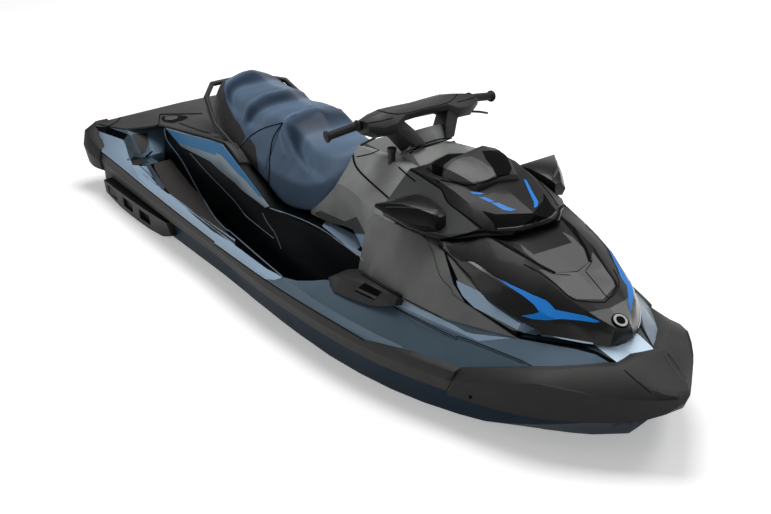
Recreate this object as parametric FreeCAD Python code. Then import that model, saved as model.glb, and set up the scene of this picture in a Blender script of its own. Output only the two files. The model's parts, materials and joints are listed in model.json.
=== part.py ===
# Personal watercraft, afloat.
# X runs forward, Y to port, Z up; the origin is on the centreline at mid-length, on the waterline.

import FreeCAD, Part
import math
import os

# Driving dimensions, in millimetres
LENGTH = 3450.0
BEAM = 1255.0
HEIGHT = 1120.0
DRAFT = 215.0

HALF_LENGTH = LENGTH / 2
HALF_BEAM = BEAM / 2

# Clearances and overruns
MOVING_GAP = 6.0
SEAT_GAP = 0.4
OVERRUN = 40.0

# Extra stations worked out between those of a table, and the sides of round pieces
STEPS = 2
ROUND_SIDES = 20
ROD_SIDES = 12
DUCT_SIDES = 8

# Wall and panel thicknesses
LINER_WALL = 6.0
LID_WALL = 6.0
LID_TOP_WALL = 12.0
LID_NOSE_WALL = 12.0
MAT_THICKNESS = 8.0
ACCENT_THICKNESS = 3.0

# Levels and stations, as shares of the height and of the half-length
BOND_SHARE = 0.299
BOW_START_SHARE = -0.07
STERN_END_SHARE = -0.788
RAIL_FRONT_SHARE = 0.606

# Steering column and bars
STEER_TILT = 30.0
STEER_X_SHARE = 0.142
STEER_Z_SHARE = 0.844
COLUMN_RADIUS = 16.0
COLUMN_DEPTH = 60.0
COLUMN_GAP = 0.3
BAR_RADIUS = 11.0
GRIP_RADIUS = 17.0
GRIP_FLANGE_RADIUS = 24.0
GRIP_FLANGE = 8.0

# Water jet pump
PUMP_Z_SHARE = 0.112
PUMP_BORE = 78.0
PUMP_WALL = 9.0
IMPELLER_CLEARANCE = 5.0
HUB_RADIUS = 26.0
TAIL_RADIUS = 9.0
TAIL_LENGTH = 30.0
TAIL_GAP = 0.3
BLADE_THICKNESS = 6.0
BLADE_COUNT = 4
VANE_COUNT = 5
NOZZLE_BORE = 44.0
NOZZLE_WALL = 7.0
NOZZLE_BELL = 58.0
BUCKET_WALL = 7.0
TUNNEL_CLEARANCE = 22.0

# Tow eyes
EYE_BORE = 9.0

SIDES = {"starboard": -1, "port": 1}

# Cross-sections: station, then half-breadth and height above the keel of each corner, from the centreline up

SHELL_SHARES = (
    (-0.939, (0, 0), (0.382, 0.067), (0.669, 0.121), (0.725, 0.134), (0.765, 0.384), (0, 0.384)),
    (-0.58, (0, 0), (0.398, 0.071), (0.693, 0.125), (0.757, 0.143), (0.845, 0.384), (0, 0.384)),
    (-0.29, (0, 0), (0.414, 0.073), (0.733, 0.13), (0.797, 0.148), (0.886, 0.384), (0, 0.384)),
    (0, (0, 0), (0.446, 0.078), (0.797, 0.138), (0.861, 0.156), (0.963, 0.384), (0, 0.384)),
    (0.203, (0, 0), (0.454, 0.08), (0.813, 0.143), (0.881, 0.161), (0.964, 0.384), (0, 0.384)),
    (0.406, (0, 0), (0.422, 0.085), (0.757, 0.148), (0.821, 0.166), (0.916, 0.384), (0, 0.384)),
    (0.58, (0, 0.004), (0.351, 0.094), (0.614, 0.162), (0.677, 0.18), (0.789, 0.384), (0, 0.384)),
    (0.696, (0, 0.031), (0.271, 0.112), (0.47, 0.193), (0.526, 0.211), (0.658, 0.384), (0, 0.384)),
    (0.777, (0, 0.089), (0.215, 0.161), (0.375, 0.234), (0.422, 0.248), (0.55, 0.388), (0, 0.388)),
    (0.846, (0, 0.183), (0.151, 0.23), (0.263, 0.273), (0.303, 0.284), (0.418, 0.393), (0, 0.393)),
    (0.899, (0, 0.272), (0.08, 0.296), (0.143, 0.314), (0.167, 0.32), (0.279, 0.397), (0, 0.397)),
    (0.945, (0, 0.353), (0.024, 0.359), (0.048, 0.364), (0.064, 0.368), (0.135, 0.402), (0, 0.402)),
)

FOOTWELL_SHARES = (
    (-0.887, (0.669, 0.67), (0.669, 0.464), (0.637, 0.46), (0.606, 0.455), (0.319, 0.455), (0.319, 0.67)),
    (-0.812, (0.749, 0.67), (0.749, 0.424), (0.701, 0.415), (0.653, 0.406), (0.319, 0.406), (0.319, 0.67)),
    (-0.725, (0.797, 0.67), (0.797, 0.393), (0.733, 0.384), (0.701, 0.371), (0.319, 0.371), (0.319, 0.67)),
    (-0.62, (0.824, 0.67), (0.824, 0.386), (0.773, 0.366), (0.749, 0.332), (0.319, 0.332), (0.319, 0.67)),
    (-0.435, (0.853, 0.67), (0.853, 0.386), (0.797, 0.362), (0.773, 0.29), (0.319, 0.29), (0.319, 0.67)),
    (-0.238, (0.892, 0.67), (0.892, 0.386), (0.841, 0.357), (0.816, 0.27), (0.319, 0.27), (0.319, 0.67)),
    (-0.029, (0.937, 0.67), (0.937, 0.386), (0.889, 0.357), (0.848, 0.264), (0.319, 0.264), (0.319, 0.67)),
    (0.07, (0.892, 0.67), (0.892, 0.402), (0.869, 0.393), (0.829, 0.264), (0.319, 0.264), (0.319, 0.67)),
    (0.145, (0.781, 0.67), (0.781, 0.437), (0.765, 0.429), (0.749, 0.268), (0.319, 0.268), (0.319, 0.67)),
)

PEDESTAL_SHARES = (
    (-0.788, (0, 0.254), (0.478, 0.254), (0.472, 0.411), (0.465, 0.504), (0, 0.504)),
    (-0.638, (0, 0.254), (0.526, 0.254), (0.5, 0.393), (0.475, 0.546), (0, 0.536)),
    (-0.487, (0, 0.254), (0.561, 0.254), (0.518, 0.375), (0.478, 0.585), (0, 0.513)),
    (-0.278, (0, 0.254), (0.625, 0.254), (0.55, 0.348), (0.473, 0.439), (0, 0.411)),
    (-0.145, (0, 0.254), (0.673, 0.254), (0.574, 0.348), (0.465, 0.449), (0, 0.437)),
    (0, (0, 0.254), (0.701, 0.254), (0.586, 0.357), (0.462, 0.462), (0, 0.462)),
    (0.174, (0, 0.254), (0.72, 0.254), (0.593, 0.366), (0.459, 0.478), (0, 0.478)),
)

STERN_SHARES = (
    (-0.986, (0, 0.299), (0.755, 0.299), (0.762, 0.384), (0.759, 0.451), (0, 0.457)),
    (-0.939, (0, 0.299), (0.759, 0.299), (0.768, 0.384), (0.717, 0.455), (0, 0.469)),
    (-0.893, (0, 0.299), (0.762, 0.299), (0.775, 0.384), (0.637, 0.457), (0, 0.482)),
    (-0.823, (0, 0.299), (0.778, 0.299), (0.789, 0.384), (0.47, 0.491), (0, 0.498)),
    (-0.788, (0, 0.299), (0.781, 0.299), (0.797, 0.384), (0.465, 0.503), (0, 0.504)),
)

BOW_SHARES = (
    (-0.07, (0, 0.299), (0.916, 0.299), (0.947, 0.384), (0.916, 0.387), (0.797, 0.388), (0, 0.388)),
    (0.145, (0, 0.299), (0.932, 0.299), (0.966, 0.384), (0.797, 0.433), (0.669, 0.442), (0, 0.451)),
    (0.29, (0, 0.299), (0.924, 0.299), (0.951, 0.384), (0.701, 0.455), (0.653, 0.491), (0, 0.5)),
    (0.464, (0, 0.299), (0.861, 0.299), (0.888, 0.384), (0.725, 0.451), (0.693, 0.502), (0, 0.518)),
    (0.58, (0, 0.299), (0.749, 0.299), (0.789, 0.384), (0.645, 0.454), (0.582, 0.5), (0, 0.527)),
    (0.667, (0, 0.299), (0.645, 0.299), (0.693, 0.388), (0.558, 0.446), (0.47, 0.502), (0, 0.522)),
    (0.777, (0, 0.299), (0.478, 0.299), (0.55, 0.393), (0.422, 0.437), (0.239, 0.5), (0, 0.5)),
    (0.846, (0, 0.304), (0.327, 0.304), (0.418, 0.397), (0.279, 0.429), (0.151, 0.482), (0, 0.473)),
    (0.904, (0, 0.312), (0.159, 0.317), (0.263, 0.402), (0.175, 0.415), (0.072, 0.446), (0, 0.437)),
)

BUMPER_SHARES = (
    (0.597, (0, 0.299), (0.808, 0.299), (0.819, 0.353), (0.749, 0.393), (0, 0.393)),
    (0.696, (0, 0.295), (0.685, 0.295), (0.714, 0.393), (0.614, 0.43), (0, 0.429)),
    (0.794, (0, 0.306), (0.558, 0.306), (0.583, 0.436), (0.422, 0.462), (0, 0.455)),
    (0.87, (0, 0.315), (0.382, 0.315), (0.425, 0.427), (0.188, 0.484), (0, 0.491)),
    (0.928, (0, 0.327), (0.215, 0.327), (0.263, 0.42), (0.143, 0.457), (0, 0.466)),
    (0.974, (0, 0.362), (0.072, 0.362), (0.127, 0.424), (0.096, 0.443), (0, 0.449)),
    (1, (0, 0.406), (0.019, 0.409), (0.048, 0.431), (0.032, 0.437), (0, 0.44)),
)

RAIL_SHARES = (
    (-0.962, (0.637, 0.284), (0.771, 0.284), (0.797, 0.335), (0.784, 0.384), (0.746, 0.393), (0.637, 0.393)),
    (-0.58, (0.717, 0.286), (0.848, 0.286), (0.88, 0.337), (0.87, 0.384), (0.825, 0.393), (0.717, 0.393)),
    (-0.29, (0.765, 0.288), (0.886, 0.288), (0.923, 0.339), (0.913, 0.384), (0.869, 0.393), (0.765, 0.393)),
    (0, (0.797, 0.291), (0.959, 0.291), (0.999, 0.342), (0.988, 0.384), (0.943, 0.393), (0.797, 0.393)),
    (0.203, (0.797, 0.295), (0.964, 0.295), (0.999, 0.345), (0.988, 0.384), (0.943, 0.393), (0.797, 0.393)),
    (0.406, (0.733, 0.297), (0.913, 0.297), (0.947, 0.348), (0.937, 0.384), (0.894, 0.394), (0.733, 0.394)),
    (0.58, (0.606, 0.3), (0.787, 0.3), (0.822, 0.351), (0.811, 0.385), (0.767, 0.395), (0.606, 0.395)),
    (0.649, (0.51, 0.302), (0.716, 0.302), (0.749, 0.354), (0.738, 0.387), (0.692, 0.396), (0.51, 0.396)),
)

FAIRING_SHARES = (
    (0.174, (0.319, 0.429), (0.629, 0.451), (0.561, 0.643), (0.526, 0.665), (0.319, 0.665)),
    (0.243, (0.319, 0.429), (0.669, 0.469), (0.582, 0.625), (0.534, 0.68), (0.319, 0.68)),
    (0.348, (0.319, 0.429), (0.696, 0.489), (0.606, 0.616), (0.518, 0.689), (0.319, 0.689)),
    (0.452, (0.319, 0.429), (0.717, 0.504), (0.593, 0.589), (0.504, 0.656), (0.319, 0.656)),
    (0.551, (0.319, 0.429), (0.622, 0.502), (0.542, 0.558), (0.497, 0.589), (0.319, 0.589)),
    (0.667, (0.319, 0.429), (0.478, 0.502), (0.462, 0.527), (0.443, 0.545), (0.319, 0.545)),
)

HOOD_SHARES = (
    (0.406, (0, 0.5), (0.497, 0.58), (0.491, 0.701), (0.351, 0.716), (0, 0.719)),
    (0.475, (0, 0.5), (0.497, 0.58), (0.478, 0.679), (0.293, 0.727), (0, 0.725)),
    (0.603, (0, 0.5), (0.484, 0.579), (0.418, 0.638), (0.247, 0.688), (0, 0.688)),
    (0.707, (0, 0.5), (0.382, 0.531), (0.327, 0.58), (0.193, 0.629), (0, 0.634)),
    (0.777, (0, 0.5), (0.223, 0.513), (0.183, 0.558), (0.115, 0.585), (0, 0.589)),
    (0.809, (0, 0.496), (0.088, 0.502), (0.076, 0.536), (0.054, 0.561), (0, 0.564)),
)

CONSOLE_SHARES = (
    (-0.174, (0, 0.442), (0.327, 0.446), (0.327, 0.46), (0.239, 0.473), (0, 0.473)),
    (-0.116, (0, 0.442), (0.357, 0.464), (0.338, 0.536), (0.239, 0.564), (0, 0.564)),
    (-0.07, (0, 0.445), (0.363, 0.473), (0.347, 0.607), (0.223, 0.665), (0, 0.67)),
    (-0.046, (0, 0.446), (0.37, 0.482), (0.354, 0.643), (0.199, 0.77), (0, 0.775)),
    (0.035, (0, 0.451), (0.39, 0.509), (0.402, 0.661), (0.231, 0.79), (0, 0.795)),
    (0.128, (0, 0.455), (0.494, 0.5), (0.472, 0.67), (0.274, 0.808), (0, 0.811)),
    (0.232, (0, 0.46), (0.55, 0.5), (0.529, 0.683), (0.316, 0.817), (0, 0.82)),
    (0.261, (0, 0.462), (0.55, 0.503), (0.526, 0.686), (0.317, 0.814), (0, 0.816)),
)

LID_SHARES = (
    (0.209, (0, 0.695), (0.518, 0.692), (0.513, 0.714), (0.311, 0.829), (0, 0.832)),
    (0.313, (0, 0.696), (0.526, 0.695), (0.513, 0.719), (0.296, 0.837), (0, 0.848)),
    (0.406, (0, 0.703), (0.491, 0.701), (0.478, 0.719), (0.271, 0.804), (0, 0.826)),
    (0.464, (0, 0.725), (0.343, 0.725), (0.327, 0.741), (0.207, 0.779), (0, 0.805)),
    (0.516, (0, 0.741), (0.191, 0.739), (0.159, 0.746), (0.088, 0.763), (0, 0.786)),
)

SEAT_REAR_SHARES = (
    (-0.678, (0, 0.5), (0.191, 0.589), (0.239, 0.643), (0.178, 0.72), (0, 0.744)),
    (-0.614, (0, 0.5), (0.239, 0.536), (0.327, 0.625), (0.22, 0.725), (0, 0.786)),
    (-0.533, (0, 0.482), (0.327, 0.5), (0.376, 0.58), (0.236, 0.711), (0, 0.771)),
    (-0.441, (0, 0.411), (0.343, 0.437), (0.379, 0.562), (0.236, 0.714), (0, 0.773)),
    (-0.348, (0, 0.375), (0.343, 0.393), (0.376, 0.554), (0.236, 0.721), (0, 0.759)),
)

SEAT_FRONT_SHARES = (
    (-0.348, (0, 0.375), (0.343, 0.393), (0.376, 0.554), (0.236, 0.721), (0, 0.759)),
    (-0.301, (0, 0.393), (0.351, 0.411), (0.382, 0.554), (0.233, 0.721), (0, 0.761)),
    (-0.232, (0, 0.393), (0.344, 0.437), (0.379, 0.554), (0.22, 0.683), (0, 0.705)),
    (-0.162, (0, 0.42), (0.316, 0.464), (0.347, 0.571), (0.207, 0.67), (0, 0.683)),
    (-0.11, (0, 0.536), (0.29, 0.562), (0.303, 0.616), (0.198, 0.695), (0, 0.71)),
    (-0.058, (0, 0.643), (0.255, 0.652), (0.258, 0.679), (0.178, 0.746), (0, 0.763)),
)


# Kit of shapes

def at(x_share, y_share, z_share):
    """A point from its shares of the half-length, the half-breadth and the height above the keel."""
    return FreeCAD.Vector(x_share * HALF_LENGTH, y_share * HALF_BEAM, z_share * HEIGHT - DRAFT)


def station_x(share):
    return share * HALF_LENGTH


def level_z(share):
    return share * HEIGHT - DRAFT


def closed_wire(points):
    return Part.makePolygon(list(points) + [points[0]])


def section(x_share, corners, side, grow):
    """One cross-section: mirrored about the centreline when side is 0, else on that side only."""
    points = []
    for y_share, z_share in corners:
        point = at(x_share, y_share, z_share)
        outward = grow if y_share > 0 else 0
        point.y = (point.y + outward) * (side or 1)
        points.append(point)
    if side == 0:
        for y_share, z_share in reversed(corners):
            if y_share > 0:
                point = at(x_share, y_share, z_share)
                point.y = -point.y - grow
                points.append(point)
    return points


def slopes(places, values):
    """Slopes of a curve through the values that never overshoots them."""
    count = len(places)
    rises = [(values[i + 1] - values[i]) / (places[i + 1] - places[i]) for i in range(count - 1)]
    result = [rises[0]]
    for index in range(1, count - 1):
        before, after = rises[index - 1], rises[index]
        result.append(2 * before * after / (before + after) if before * after > 0 else 0)
    return result + [rises[-1]]


def faired(table, steps):
    """The table with extra stations between its own, on smooth curves through every corner."""
    places = [row[0] for row in table]
    corners = range(1, len(table[0]))
    curves = {}
    for corner in corners:
        for part in (0, 1):
            values = [row[corner][part] for row in table]
            curves[corner, part] = (values, slopes(places, values))
    result = []
    for index in range(len(table) - 1):
        span = places[index + 1] - places[index]
        for step in range(steps):
            t = step / steps
            row = [places[index] + span * t]
            for corner in corners:
                pair = []
                for part in (0, 1):
                    values, rates = curves[corner, part]
                    low, high = values[index], values[index + 1]
                    start, end = rates[index] * span, rates[index + 1] * span
                    bend = 2 * low + start - 2 * high + end
                    sag = 3 * high - 3 * low - 2 * start - end
                    pair.append(low + start * t + sag * t**2 + bend * t**3)
                row.append(tuple(pair))
            result.append(tuple(row))
    return result + [table[-1]]


def facet(*points):
    return Part.Face(closed_wire(points))


def stretched(outlines):
    """A solid through closed outlines of equal length, with flat facets between one and the next."""
    faces = [Part.Face(closed_wire(outlines[0])), Part.Face(closed_wire(outlines[-1]))]
    for near, far in zip(outlines, outlines[1:]):
        for index in range(len(near)):
            a, b = near[index - 1], near[index]
            c, d = far[index], far[index - 1]
            if (a - c).Length < (b - d).Length:
                faces += [facet(a, b, c), facet(a, c, d)]
            else:
                faces += [facet(a, b, d), facet(b, c, d)]
    shell = Part.makeShell(faces)
    shell.sewShape()
    solid = Part.makeSolid(Part.Shell(shell.Faces))
    solid.fix(0, 0, 0)
    return solid if solid.Volume > 0 else solid.reversed()


def skin(table, side=0, grow=0, steps=STEPS):
    """A solid stretched through a table of cross-sections."""
    outlines = []
    for row in faired(table, steps):
        outlines.append(section(row[0], row[1:], side, grow))
    return stretched(outlines)


def largest(shape):
    """The biggest solid of a shape, without the slivers that a cut left beside it."""
    return max(shape.Solids, key=lambda solid: solid.Volume)


def block(x0, x1, y0, y1, z0, z1):
    corner = FreeCAD.Vector(min(x0, x1), min(y0, y1), min(z0, z1))
    return Part.makeBox(abs(x1 - x0), abs(y1 - y0), abs(z1 - z0), corner)


def ring(centre, along, radius, sides):
    """The corners of a regular outline square to a direction."""
    up = FreeCAD.Vector(0, 0, 1) if abs(along.x) + abs(along.y) > abs(along.z) else FreeCAD.Vector(1, 0, 0)
    across = along.cross(up).normalize()
    up = across.cross(along).normalize()
    points = []
    for index in range(sides):
        angle = 2 * math.pi * (index + 0.5) / sides
        points.append(centre + across * (radius * math.cos(angle)) + up * (radius * math.sin(angle)))
    return points


def turned(profile, start, along, sides=ROUND_SIDES):
    """A turned piece; its profile gives distances along the line and the radius at each."""
    direction = FreeCAD.Vector(along).normalize()
    outlines = []
    for distance, radius in profile:
        outlines.append(ring(start + direction * distance, direction, radius, sides))
    return stretched(outlines)


def rod(points, radius, sides=ROD_SIDES):
    """A bar bent at each point, with its ends square."""
    outlines = [ring(points[0], points[1] - points[0], radius, sides)]
    for index in range(1, len(points)):
        arriving = (points[index] - points[index - 1]).normalize()
        leaving = arriving
        if index + 1 < len(points):
            leaving = (points[index + 1] - points[index]).normalize()
        normal = (arriving + leaving).normalize()
        outline = []
        for corner in outlines[-1]:
            reach = (points[index] - corner).dot(normal) / arriving.dot(normal)
            outline.append(corner + arriving * reach)
        outlines.append(outline)
    return stretched(outlines)


def stub(start, end, radius, sides=ROD_SIDES):
    return turned([(0, radius), ((end - start).Length, radius)], start, end - start, sides)


def tube(start, end, radius):
    """A true cylinder, for a pin, a hole or a bore."""
    return Part.makeCylinder(radius, (end - start).Length, start, end - start)


def prism(points, direction):
    return Part.Face(closed_wire(points)).extrude(direction)


def moved(shape, offset):
    copy = shape.copy()
    copy.translate(offset)
    return copy


def mirrored(shape):
    return shape.mirror(FreeCAD.Vector(0, 0, 0), FreeCAD.Vector(0, 1, 0))


def turned_profile(profile, centre_z):
    """A piece turned about the fore-and-aft line at the given level; its profile gives x and radius."""
    return turned(profile, FreeCAD.Vector(0, 0, centre_z), FreeCAD.Vector(1, 0, 0))


# Named places

BOND_Z = level_z(BOND_SHARE)
PUMP_Z = level_z(PUMP_Z_SHARE)
FAR = LENGTH


def above_bond():
    return block(-FAR, FAR, -FAR, FAR, BOND_Z, BOND_Z + FAR)


def below_bond():
    return block(-FAR, FAR, -FAR, FAR, BOND_Z - FAR, BOND_Z)


# Hull

ENGINE_X_SHARES = (-0.429, -0.093)
ENGINE_HALF_WIDTH = 175.0
ENGINE_Z_SHARES = (0.067, 0.379)
ENGINE_CLEARANCE = 12.0
SHAFT_RADIUS = 13.0
TUNNEL_X_SHARES = (-0.986, -0.748, -0.638)
TUNNEL_HALF_WIDTH = 152.0
TUNNEL_TOP_SHARE = 0.279
PUMP_FRONT_SHARE = -0.638
INTAKE_X_SHARES = (-0.58, -0.359)
INTAKE_HALF_WIDTH = 74.0
GRATE_THICKNESS = 8.0
GRATE_BAR = 7.0
GRATE_END = 22.0
GRATE_BARS = 5


def engine_block(clearance=0):
    return block(
        station_x(ENGINE_X_SHARES[0]) - clearance,
        station_x(ENGINE_X_SHARES[1]) + clearance,
        -ENGINE_HALF_WIDTH - clearance,
        ENGINE_HALF_WIDTH + clearance,
        level_z(ENGINE_Z_SHARES[0]),
        level_z(ENGINE_Z_SHARES[1]) + clearance,
    )


def intake_duct():
    """The rising duct from the bottom of the hull to the mouth of the pump."""
    low = -DRAFT - OVERRUN
    front = station_x(INTAKE_X_SHARES[1])
    rear = station_x(INTAKE_X_SHARES[0])
    mouth_x = station_x(PUMP_FRONT_SHARE) - OVERRUN
    mouth = []
    sill = []
    for index in range(DUCT_SIDES):
        angle = 2 * math.pi * (index + 0.5) / DUCT_SIDES
        mouth.append(
            FreeCAD.Vector(mouth_x, PUMP_BORE * math.sin(angle), PUMP_Z + PUMP_BORE * math.cos(angle))
        )
        along = front if math.cos(angle) > 0 else rear
        sill.append(FreeCAD.Vector(along, INTAKE_HALF_WIDTH * math.sin(angle), low))
    return stretched([sill, mouth])


def pump_tunnel():
    rear, wide_front, front = [station_x(share) for share in TUNNEL_X_SHARES]
    top = level_z(TUNNEL_TOP_SHARE)
    wide = block(rear, wide_front, -TUNNEL_HALF_WIDTH, TUNNEL_HALF_WIDTH, -DRAFT - OVERRUN, top)
    reach = PUMP_BORE + PUMP_WALL + TUNNEL_CLEARANCE
    narrow = block(wide_front, front, -reach, reach, -DRAFT - OVERRUN, PUMP_Z)
    crown = turned_profile([(wide_front, reach), (front, reach)], PUMP_Z)
    return wide.fuse([narrow, crown])


def shaft_hole():
    start = FreeCAD.Vector(station_x(PUMP_FRONT_SHARE), 0, PUMP_Z)
    end = FreeCAD.Vector(station_x(ENGINE_X_SHARES[0]), 0, PUMP_Z)
    return tube(start, end, SHAFT_RADIUS + MOVING_GAP)


def hull(shell, footwells, pedestal_solid, let_in):
    solid = shell.common(below_bond())
    solid = solid.cut(footwells)
    solid = solid.cut(pedestal_solid)
    solid = solid.cut(engine_block(ENGINE_CLEARANCE))
    solid = solid.cut(pump_tunnel())
    solid = solid.cut(intake_duct())
    solid = solid.cut(let_in)
    return largest(solid.cut(shaft_hole()))


# Deck mouldings

def gunwale(shell, footwells, side):
    """The side of the deck from the stern deck to the bow, outboard of a footwell."""
    ring = shell.common(above_bond()).cut(footwells)
    rear = station_x(STERN_END_SHARE)
    front = station_x(BOW_START_SHARE)
    inner = at(0, GUNWALE_INNER_SHARE, 0).y
    keep = block(rear, front, side * inner, side * FAR, BOND_Z, BOND_Z + FAR)
    return ring.common(keep)


def pedestal(engine_pocket):
    return skin(PEDESTAL_SHARES).cut(engine_pocket)


def stern_deck(footwells):
    return skin(STERN_SHARES).cut(footwells).cut(step_recess())


def bin_space(clearance):
    return block(
        station_x(BIN_X_SHARES[0]) - clearance,
        station_x(BIN_X_SHARES[1]) + clearance,
        -BIN_HALF_WIDTH - clearance,
        BIN_HALF_WIDTH + clearance,
        level_z(BIN_FLOOR_SHARE) - clearance,
        level_z(BIN_RIM_SHARE),
    )


PLATFORM_SHARES = (
    (-0.986, (0, 0.437), (0.736, 0.437), (0.733, 0.457), (0, 0.464)),
    (-0.939, (0, 0.437), (0.695, 0.437), (0.692, 0.463), (0, 0.476)),
    (-0.893, (0, 0.437), (0.618, 0.437), (0.615, 0.465), (0, 0.489)),
    (-0.823, (0, 0.446), (0.456, 0.446), (0.453, 0.499), (0, 0.505)),
    (-0.754, (0, 0.446), (0.456, 0.446), (0.453, 0.52), (0, 0.525)),
    (-0.638, (0, 0.446), (0.462, 0.446), (0.459, 0.554), (0, 0.543)),
    (-0.487, (0, 0.446), (0.465, 0.446), (0.462, 0.592), (0, 0.521)),
    (-0.417, (0, 0.429), (0.465, 0.429), (0.462, 0.546), (0, 0.482)),
)

VENT_SHARES = (
    (0.136, (0.637, 0.415), (0.784, 0.427), (0.778, 0.439), (0.637, 0.448)),
    (0.191, (0.606, 0.415), (0.837, 0.427), (0.784, 0.475), (0.606, 0.478)),
    (0.307, (0.606, 0.424), (0.794, 0.439), (0.749, 0.496), (0.606, 0.5)),
    (0.377, (0.606, 0.455), (0.755, 0.478), (0.736, 0.505), (0.606, 0.509)),
)

SPONSON_SHARES = (
    (-0.887, (0.669, 0.21), (0.816, 0.21), (0.835, 0.268), (0.669, 0.272)),
    (-0.736, (0.685, 0.179), (0.841, 0.179), (0.861, 0.271), (0.685, 0.277)),
    (-0.638, (0.685, 0.166), (0.848, 0.168), (0.87, 0.273), (0.685, 0.279)),
    (-0.539, (0.717, 0.211), (0.829, 0.212), (0.869, 0.275), (0.717, 0.279)),
)
SPONSON_POCKET_X_SHARES = (-0.841, -0.748, -0.655)
SPONSON_POCKET_LENGTH = 95.0
SPONSON_POCKET_HEIGHT = 46.0
SPONSON_POCKET_DEPTH = 26.0
SPONSON_POCKET_SHARE = 0.234

ACCENT_POINT_SHARES = (
    (-0.78, 0.507),
    (-0.487, 0.589),
    (-0.272, 0.444),
    (-0.29, 0.427),
    (-0.539, 0.489),
    (-0.69, 0.473),
)
MAT_X_SHARES = (-0.748, -0.012)
MAT_OUTER_SHARE = 0.743
MAT_EDGE_GAP = 3.0

GRAB_SHARES = (
    (-0.464, 0.405, 0.564),
    (-0.568, 0.402, 0.616),
    (-0.649, 0.338, 0.683),
    (-0.716, 0.175, 0.692),
)
GRAB_RADIUS = 12.0

EYE_PLATE = 10.0
EYE_RADIUS = 18.0
EYE_NECK = 12.0
BOW_EYE = (0.854, 0, 0.168)
BOW_EYE_INWARD = (-0.75, 0, 0.66)
STERN_EYE = (-0.951, 0.478, 0.223)

KEY_POST = (0.119, -0.265, 0.786)
KEY_POST_RADIUS = 15.0
KEY_POST_HEIGHT = 62.0
KEY_CAP_RADIUS = 19.0
KEY_CAP = 16.0

STEP_PIVOT = (-0.98, 0, 0.305)
STEP_ARM = 150.0
STEP_HALF_WIDTH = 150.0
STEP_RADIUS = 10.0
STEP_LUG = 14.0
STEP_LUG_WIDTH = 22.0
STEP_RECESS_HALF_WIDTH = 185.0
STEP_RECESS_MARGIN = 28.0
STEP_RECESS_SHARE = -0.966
STEP_PIN = 6.0
STEP_PIN_GAP = 0.3


def platform_cover(stern, pedestal_solid, seat_space):
    return skin(PLATFORM_SHARES).cut([stern, pedestal_solid, seat_space])


def vent(bow, fairing, console_solid, side):
    return skin(VENT_SHARES, side).cut([bow, fairing, console_solid])


def sponson(shell, rail, side):
    """A fin along the hull's side, with three pockets in its outer face."""
    solid = skin(SPONSON_SHARES, side).cut([shell, rail])
    face = at(0, SPONSON_SHARES[1][3][0], 0).y
    level = level_z(SPONSON_POCKET_SHARE)
    for share in SPONSON_POCKET_X_SHARES:
        x = station_x(share)
        pocket = block(
            x - SPONSON_POCKET_LENGTH / 2,
            x + SPONSON_POCKET_LENGTH / 2,
            side * (face - SPONSON_POCKET_DEPTH),
            side * FAR,
            level - SPONSON_POCKET_HEIGHT / 2,
            level + SPONSON_POCKET_HEIGHT / 2,
        )
        solid = solid.cut(pocket)
    return solid


def accent_panel(pedestal_solid, cover, side):
    """A flat coloured panel let on to the side of the pedestal."""
    points = [at(x_share, 0, z_share) for x_share, z_share in ACCENT_POINT_SHARES]
    slab = prism(points, FreeCAD.Vector(0, side * FAR, 0))
    shifted = moved(pedestal_solid, FreeCAD.Vector(0, side * ACCENT_THICKNESS, 0))
    return largest(slab.common(shifted).cut([pedestal_solid, cover]))


def footwell_mat(well, pedestal_solid, side):
    """A mat that follows the footwell's floor."""
    raised = moved(well, FreeCAD.Vector(0, 0, MAT_THICKNESS))
    rear, front = [station_x(share) for share in MAT_X_SHARES]
    outer = at(0, MAT_OUTER_SHARE, 0).y
    keep = block(rear, front, 0, side * outer, -FAR, FAR)
    clear = moved(pedestal_solid, FreeCAD.Vector(0, side * MAT_EDGE_GAP, 0))
    return well.cut(raised).common(keep).cut([pedestal_solid, clear])


def grab_handle(cover):
    """A rail that loops round the back of the seat."""
    half = [at(*point) for point in GRAB_SHARES]
    other = [FreeCAD.Vector(point.x, -point.y, point.z) for point in reversed(half)]
    return largest(rod(half + other, GRAB_RADIUS).cut(cover))


def eye(centre, inward):
    """A tow eye: a bored lug on a short neck."""
    across = FreeCAD.Vector(0, EYE_PLATE, 0)
    base = centre - across / 2
    lug = stub(base, base + across, EYE_RADIUS, ROUND_SIDES)
    up = FreeCAD.Vector(-inward.z, 0, inward.x) * EYE_NECK
    deep = inward * OVERRUN
    neck = prism([base + up, base - up, base - up + deep, base + up + deep], across)
    bore = tube(base - across, base + across + across, EYE_BORE)
    return lug.fuse(neck).cut(bore)


def key_post(console_solid):
    foot = at(*KEY_POST)
    shoulder = foot + FreeCAD.Vector(0, 0, KEY_POST_HEIGHT)
    stem = stub(foot, shoulder, KEY_POST_RADIUS)
    cap = stub(shoulder, shoulder + FreeCAD.Vector(0, 0, KEY_CAP), KEY_CAP_RADIUS)
    return stem.fuse(cap).cut(console_solid)


def step_recess():
    x = station_x(STEP_RECESS_SHARE)
    low = level_z(STEP_PIVOT[2]) - STEP_RECESS_MARGIN
    top = level_z(STEP_PIVOT[2]) + STEP_ARM + STEP_RECESS_MARGIN
    return block(-FAR, x, -STEP_RECESS_HALF_WIDTH, STEP_RECESS_HALF_WIDTH, low, top)


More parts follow.
